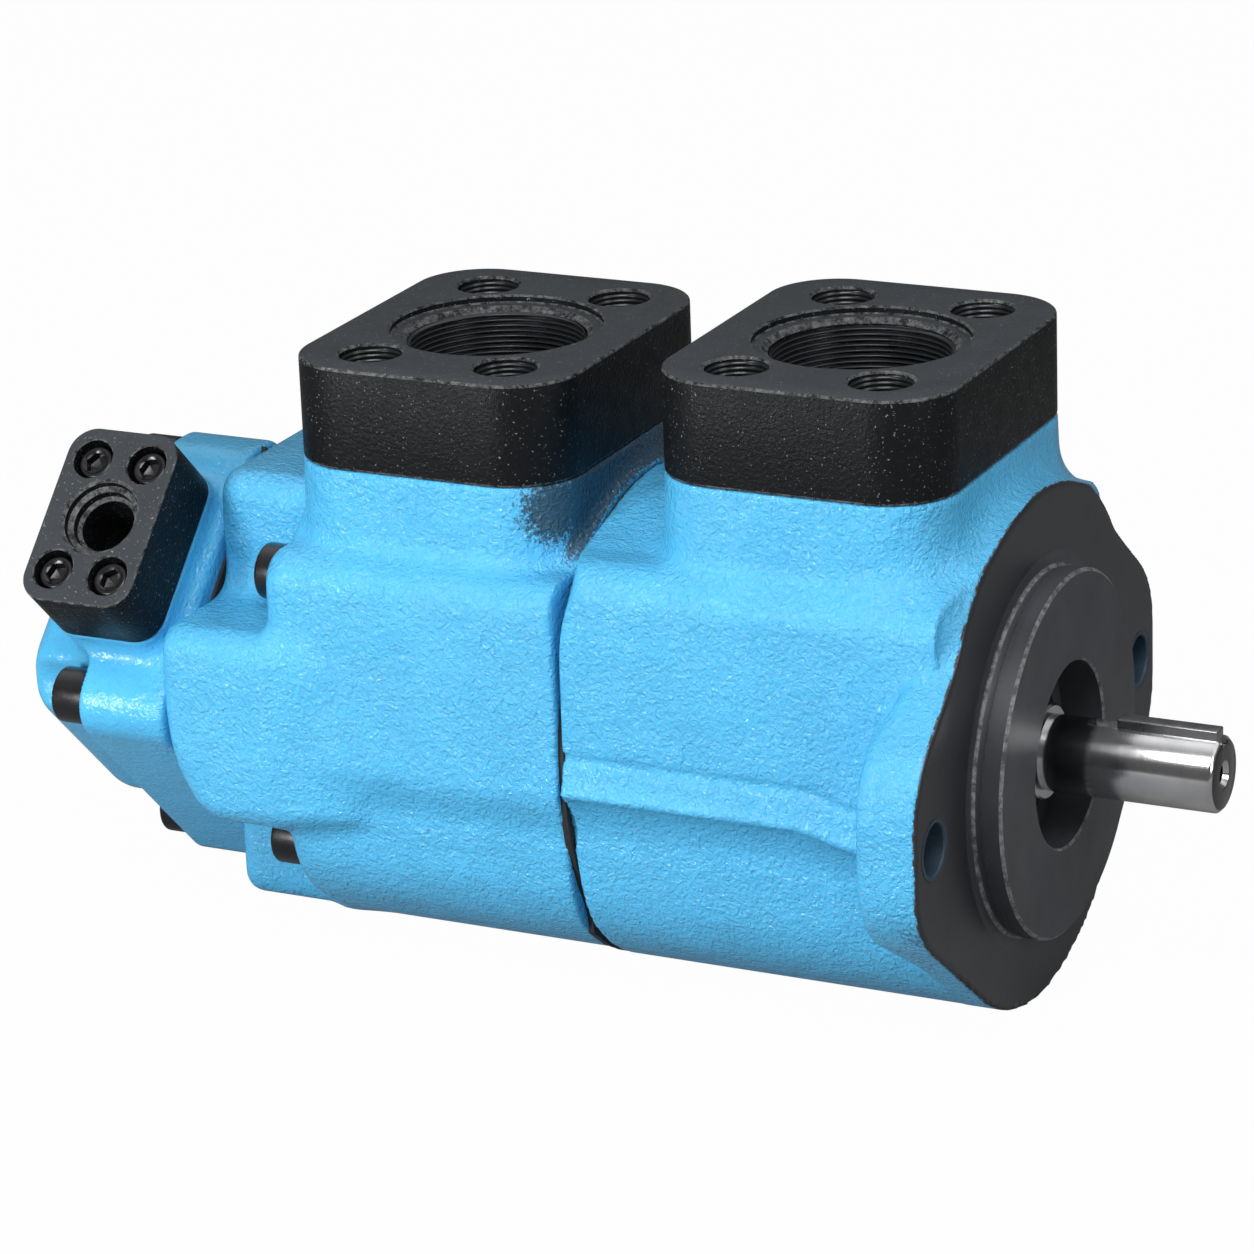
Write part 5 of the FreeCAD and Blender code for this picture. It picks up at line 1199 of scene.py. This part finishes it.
def block_material(scene):
    """Black oxide: ground slate faces, grainy sides, dusty specks, broken bright edges that are partly wear
    and partly painted highlight.
    """
    material, tree, shader = new_material("black oxide block")
    place = object_place(tree)
    ground = add_node(tree, "ShaderNodeAttribute", attribute_name="ground").outputs["Fac"]
    clouds = noise(tree, place, 30.0, 5.0, 0.6)
    dark = scene.pump_ports.oxide
    side = mix_colour(tree, clouds, *shades(dark, 0.12, 0.26))
    face = mix_colour(tree, clouds, *shades(dark, 1.0, 1.7))
    base = mix_colour(tree, ground, side, face)
    dust = spread(tree, noise(tree, place, 900.0, 2.0, 0.5), 0.67, 0.72)
    base = mix_colour(tree, product(tree, dust, 0.5), base, (0.4, 0.41, 0.42))
    # Broken bright lines on the sloping faces: partly edge wear, partly painted highlight on the chamfers.
    wear_and_highlight = effect(tree, "edge wear and painted highlight", Place=place, Amount=0.3)["Wear and highlight"]
    base = mix_colour(tree, wear_and_highlight, base, (0.42, 0.43, 0.44))
    rough = spread(tree, noise(tree, place, 120.0, 4.0), 0.3, 0.7, 0.34, 0.48)
    height = noise(tree, place, 620.0, 3.0, 0.6)
    strength = spread(tree, ground, 0.0, 1.0, 0.8, 0.10)
    wire(
        tree, shader, Base_Color=base, Roughness=rough, Metallic=0.0, Specular_IOR_Level=0.13,
        Normal=bump(tree, height, strength, 0.0006),
    )
    return material


def turned_material(name, base, roughness, metallic, pattern=900.0, depth=0.25, end=None):
    """Turned or ground metal with fine rings round the shaft axis, broken bright edges that are partly wear
    and partly painted highlight, and painted shade on the end face.
    """
    material, tree, shader = new_material(name)
    place = object_place(tree)
    stretched = add_node(tree, "ShaderNodeMapping", inputs={"Vector": place, "Scale": (pattern, 14.0, 14.0)})
    lines = noise(tree, stretched.outputs["Vector"], 1.0, 3.0, 0.6)
    tone = spread(tree, noise(tree, place, 45.0, 4.0), 0.3, 0.7, 0.85, 1.15)
    # Broken bright lines on the chamfers: partly edge wear, partly painted highlight.
    wear_and_highlight = effect(tree, "edge wear and painted highlight", Place=place, Amount=0.5)["Wear and highlight"]
    worn_and_highlit = mix_colour(tree, wear_and_highlight, base, (0.45, 0.45, 0.46))
    # On the end face the colour is darkened to a sixth: painted shade where it would mirror the bright
    # floor.
    if end is not None:
        x = add_node(tree, "ShaderNodeSeparateXYZ", inputs={0: place}).outputs["X"]
        face = spread(tree, x, end - 0.0004, end - 0.0001)
        worn_and_highlit = mix_colour(tree, face, worn_and_highlit, [c * 0.16 for c in base])
    bright = add_node(tree, "ShaderNodeHueSaturation", inputs={"Color": worn_and_highlit, "Value": tone})
    rough = spread(tree, lines, 0.3, 0.7, roughness * 0.8, roughness * 1.25)
    wire(
        tree, shader, Base_Color=bright.outputs["Color"], Roughness=rough, Metallic=metallic,
        Normal=bump(tree, lines, depth, 0.00006),
    )
    return material


def plain_material(name, base, roughness, metallic, grain, depth):
    """A finish with clouds of tone and a fine grain."""
    material, tree, shader = new_material(name)
    place = object_place(tree)
    tone = mix_colour(tree, noise(tree, place, grain * 0.15, 4.0), *shades(base, 0.75, 1.25))
    rough = spread(tree, noise(tree, place, grain * 0.4, 3.0), 0.3, 0.7, roughness * 0.8, roughness * 1.2)
    fine = noise(tree, place, grain, 3.0)
    wire(
        tree, shader, Base_Color=tone, Roughness=rough, Metallic=metallic,
        Normal=bump(tree, fine, depth, 0.0002),
    )
    return material


MATERIALS = {}


def materials():
    """All finishes of the pump, made once."""
    if MATERIALS:
        return MATERIALS
    scene = bpy.context.scene
    steel = scene.pump_shaft.steel
    MATERIALS.update(
        paint=paint_material(scene),
        block=block_material(scene),
        machined=turned_material("machined iron", scene.pump_shaft.machined, 0.44, 0.2),
        shaft=turned_material("ground shaft steel", steel, 0.16, 1.0, 1400.0, 0.12, scene.pump_shaft.reach),
        key=plain_material("key steel", (0.30, 0.30, 0.31), 0.30, 1.0, 300.0, 0.1),
        seal=turned_material("seal case steel", steel, 0.36, 1.0),
        screw=plain_material("blackened screw steel", (0.012, 0.012, 0.014), 0.26, 0.25, 500.0, 0.15),
        thread=plain_material("cut thread", (0.035, 0.037, 0.041), 0.32, 0.6, 400.0, 0.2),
        hole=plain_material("rough hole wall", (0.03, 0.06, 0.09), 0.6, 0.2, 350.0, 0.6),
        gasket=plain_material("black gasket", (0.012, 0.012, 0.013), 0.7, 0.0, 500.0, 0.4),
        rubber=plain_material("seal rubber", (0.02, 0.02, 0.02), 0.5, 0.0, 400.0, 0.2),
        bearing=plain_material("polished bearing steel", (0.6, 0.6, 0.61), 0.14, 1.0, 300.0, 0.05),
        hard=plain_material("hardened steel", (0.36, 0.36, 0.37), 0.28, 1.0, 300.0, 0.1),
        bronze=plain_material("machined bronze", (0.48, 0.30, 0.13), 0.32, 1.0, 300.0, 0.1),
        spring=plain_material("phosphated steel", (0.07, 0.07, 0.075), 0.5, 0.7, 500.0, 0.2),
    )
    return MATERIALS


SLOT_FINISH = {
    "blue_paint": "paint",
    "black_oxide": "block",
    "screw_steel": "screw",
    "shaft_steel": "shaft",
    "gasket": "gasket",
    "seal_rubber": "rubber",
    "seal_case": "seal",
    "spring_steel": "spring",
    "bearing_steel": "bearing",
    "bronze": "bronze",
    "hard_steel": "hard",
}


class PUMP_OT_inner_finishes(Operator):
    """Finishes of the parts inside the housing, which keep their frame meshes."""

    bl_idname = "pump.inner_finishes"
    bl_label = "Inner finishes"

    def execute(self, context):
        slots = {row["node"]: row["material_slot"] for row in frame["record"]["subparts"]}
        for name, node in frame["nodes"].items():
            finish = materials()[SLOT_FINISH[slots[name]]]
            node.data.materials.clear()
            node.data.materials.append(finish)
        return {"FINISHED"}


# Stage

def area_lamp(name, place, target, size, power):
    """A rectangular soft lamp that looks at a target; places are in metres."""
    light = bpy.data.lights.new(name, "AREA")
    light.shape = "RECTANGLE"
    light.size, light.size_y = size
    light.energy = power
    lamp = bpy.data.objects.new(name, light)
    back = np.array(place) - np.array(target)
    lamp.matrix_world = look_matrix(np.array(place), back / np.linalg.norm(back), 0.0)
    bpy.context.scene.collection.objects.link(lamp)


def look_matrix(place, back, roll):
    """Camera or lamp matrix from its place, the direction behind it and its roll."""
    right = np.cross([0.0, 0.0, 1.0], back)
    right /= np.linalg.norm(right)
    up = np.cross(back, right)
    across = math.cos(roll) * right + math.sin(roll) * up
    upward = math.cos(roll) * up - math.sin(roll) * right
    rows = np.eye(4)
    rows[:3, 0], rows[:3, 1], rows[:3, 2], rows[:3, 3] = across, upward, back, place
    return Matrix(rows.tolist())


def seen_and_mirrored(tree):
    """1 for what the camera sees straight or through glass, and 1 for what a gloss mirrors."""
    path = add_node(tree, "ShaderNodeLightPath").outputs
    return maths(tree, "MAXIMUM", path["Is Camera Ray"], path["Is Transmission Ray"]), path["Is Glossy Ray"]


class PUMP_OT_stage(Operator):
    """White floor, soft lamps and the camera."""

    bl_idname = "pump.stage"
    bl_label = "Stage"

    def execute(self, context):
        scene = context.scene
        t = scene.pump_stage
        half = 30.0
        mesh = bpy.data.meshes.new("floor")
        around = ((-half, -half), (half, -half), (half, half), (-half, half))
        mesh.from_pydata([(x, y, t.floor_height) for x, y in around], [], [(0, 1, 2, 3)])
        floor = bpy.data.objects.new("floor", mesh)
        scene.collection.objects.link(floor)
        material, tree, shader = new_material("white floor")
        wire(tree, shader, Base_Color=(0.26, 0.26, 0.26), Roughness=0.9)
        glow = add_node(tree, "ShaderNodeEmission", inputs={"Color": (1.0, 1.0, 1.0), "Strength": 1.0})
        seen, mirrored = seen_and_mirrored(tree)
        share = maths(tree, "MAXIMUM", product(tree, seen, 0.985), product(tree, mirrored, 0.08))
        mix = add_node(tree, "ShaderNodeMixShader")
        tree.links.new(share, mix.inputs[0])
        tree.links.new(shader.outputs[0], mix.inputs[1])
        tree.links.new(glow.outputs[0], mix.inputs[2])
        tree.links.new(mix.outputs[0], tree.nodes["Material Output"].inputs["Surface"])
        mesh.materials.append(material)

        world = bpy.data.worlds.new("studio")
        world.use_nodes = True
        tree = world.node_tree
        sky = tree.nodes["Background"]
        sky.inputs["Color"].default_value = (1.0, 1.0, 1.0, 1.0)
        direction = add_node(tree, "ShaderNodeTexCoord").outputs["Generated"]
        axes = add_node(tree, "ShaderNodeSeparateXYZ", inputs={0: direction})
        overhead = spread(tree, axes.outputs["Z"], 0.50, 0.66)
        behind = spread(tree, axes.outputs["Y"], -0.25, 0.15, 0.35, 1.1)
        studio = maths(tree, "ADD", product(tree, overhead, behind), 0.12)
        seen, mirrored = seen_and_mirrored(tree)
        strength = spread(tree, seen, 0.0, 1.0, spread(tree, mirrored, 0.0, 1.0, 0.16, studio), 1.0)
        tree.links.new(strength, sky.inputs["Strength"])
        scene.world = world

        area_lamp("key lamp", (0.1, -1.3, 1.7), (-0.18, 0.0, 0.0), (1.2, 0.8), t.key_light)
        area_lamp("glint lamp", (-0.95, -1.5, 0.3), (-0.2, 0.0, 0.0), (0.3, 0.46), t.glint_light)
        area_lamp("front lamp", (1.7, -0.5, 0.9), (0.0, 0.0, 0.0), (0.5, 1.2), t.fill_light)

        camera = bpy.data.objects.new("camera", bpy.data.cameras.new("camera"))
        camera.data.lens = t.lens
        camera.data.sensor_width = 36.0
        a, e = t.azimuth, t.elevation
        back = np.array([math.sin(a) * math.cos(e), -math.cos(a) * math.cos(e), math.sin(e)])
        target = np.array([-0.1853, 0.0, 0.0308])
        camera.matrix_world = look_matrix(target + back * t.distance, back, t.roll)
        camera.data.clip_start, camera.data.clip_end = 0.05, 200.0
        scene.collection.objects.link(camera)
        scene.camera = camera
        scene.view_settings.view_transform = "Standard"
        return {"FINISHED"}


# Panel and registration

OPERATORS = (
    PUMP_OT_inner_finishes,
    PUMP_OT_castings,
    PUMP_OT_gaskets,
    PUMP_OT_suction_ports,
    PUMP_OT_outlet_ports,
    PUMP_OT_housing_bolts,
    PUMP_OT_pilot,
    PUMP_OT_shaft,
    PUMP_OT_seal,
    PUMP_OT_stage,
)


class PUMP_PT_panel(Panel):
    """Settings and build steps of the pump."""

    bl_label = "Double vane pump"
    bl_space_type = "VIEW_3D"
    bl_region_type = "UI"
    bl_category = "Pump"

    def draw(self, context):
        for group in SETTINGS:
            box = self.layout.box()
            settings = getattr(context.scene, group)
            for name in settings.__annotations__:
                box.prop(settings, name)
        for operator in OPERATORS:
            self.layout.operator(operator.bl_idname)


def register():
    """Register the settings, the build steps and the panel."""
    for group in SETTINGS.values():
        bpy.utils.register_class(group)
    for name, group in SETTINGS.items():
        setattr(bpy.types.Scene, name, PointerProperty(type=group))
    for item in (*OPERATORS, PUMP_PT_panel):
        bpy.utils.register_class(item)


def unregister():
    """Take everything out again, in reverse order."""
    for item in (PUMP_PT_panel, *reversed(OPERATORS)):
        bpy.utils.unregister_class(item)
    for name in SETTINGS:
        delattr(bpy.types.Scene, name)
    for group in reversed(SETTINGS.values()):
        bpy.utils.unregister_class(group)


def main():
    """Build every piece in order."""
    register()
    for operator in OPERATORS:
        family, step = operator.bl_idname.split(".")
        getattr(getattr(bpy.ops, family), step)()
    bpy.context.view_layer.update()


if __name__ == "__main__":
    main()
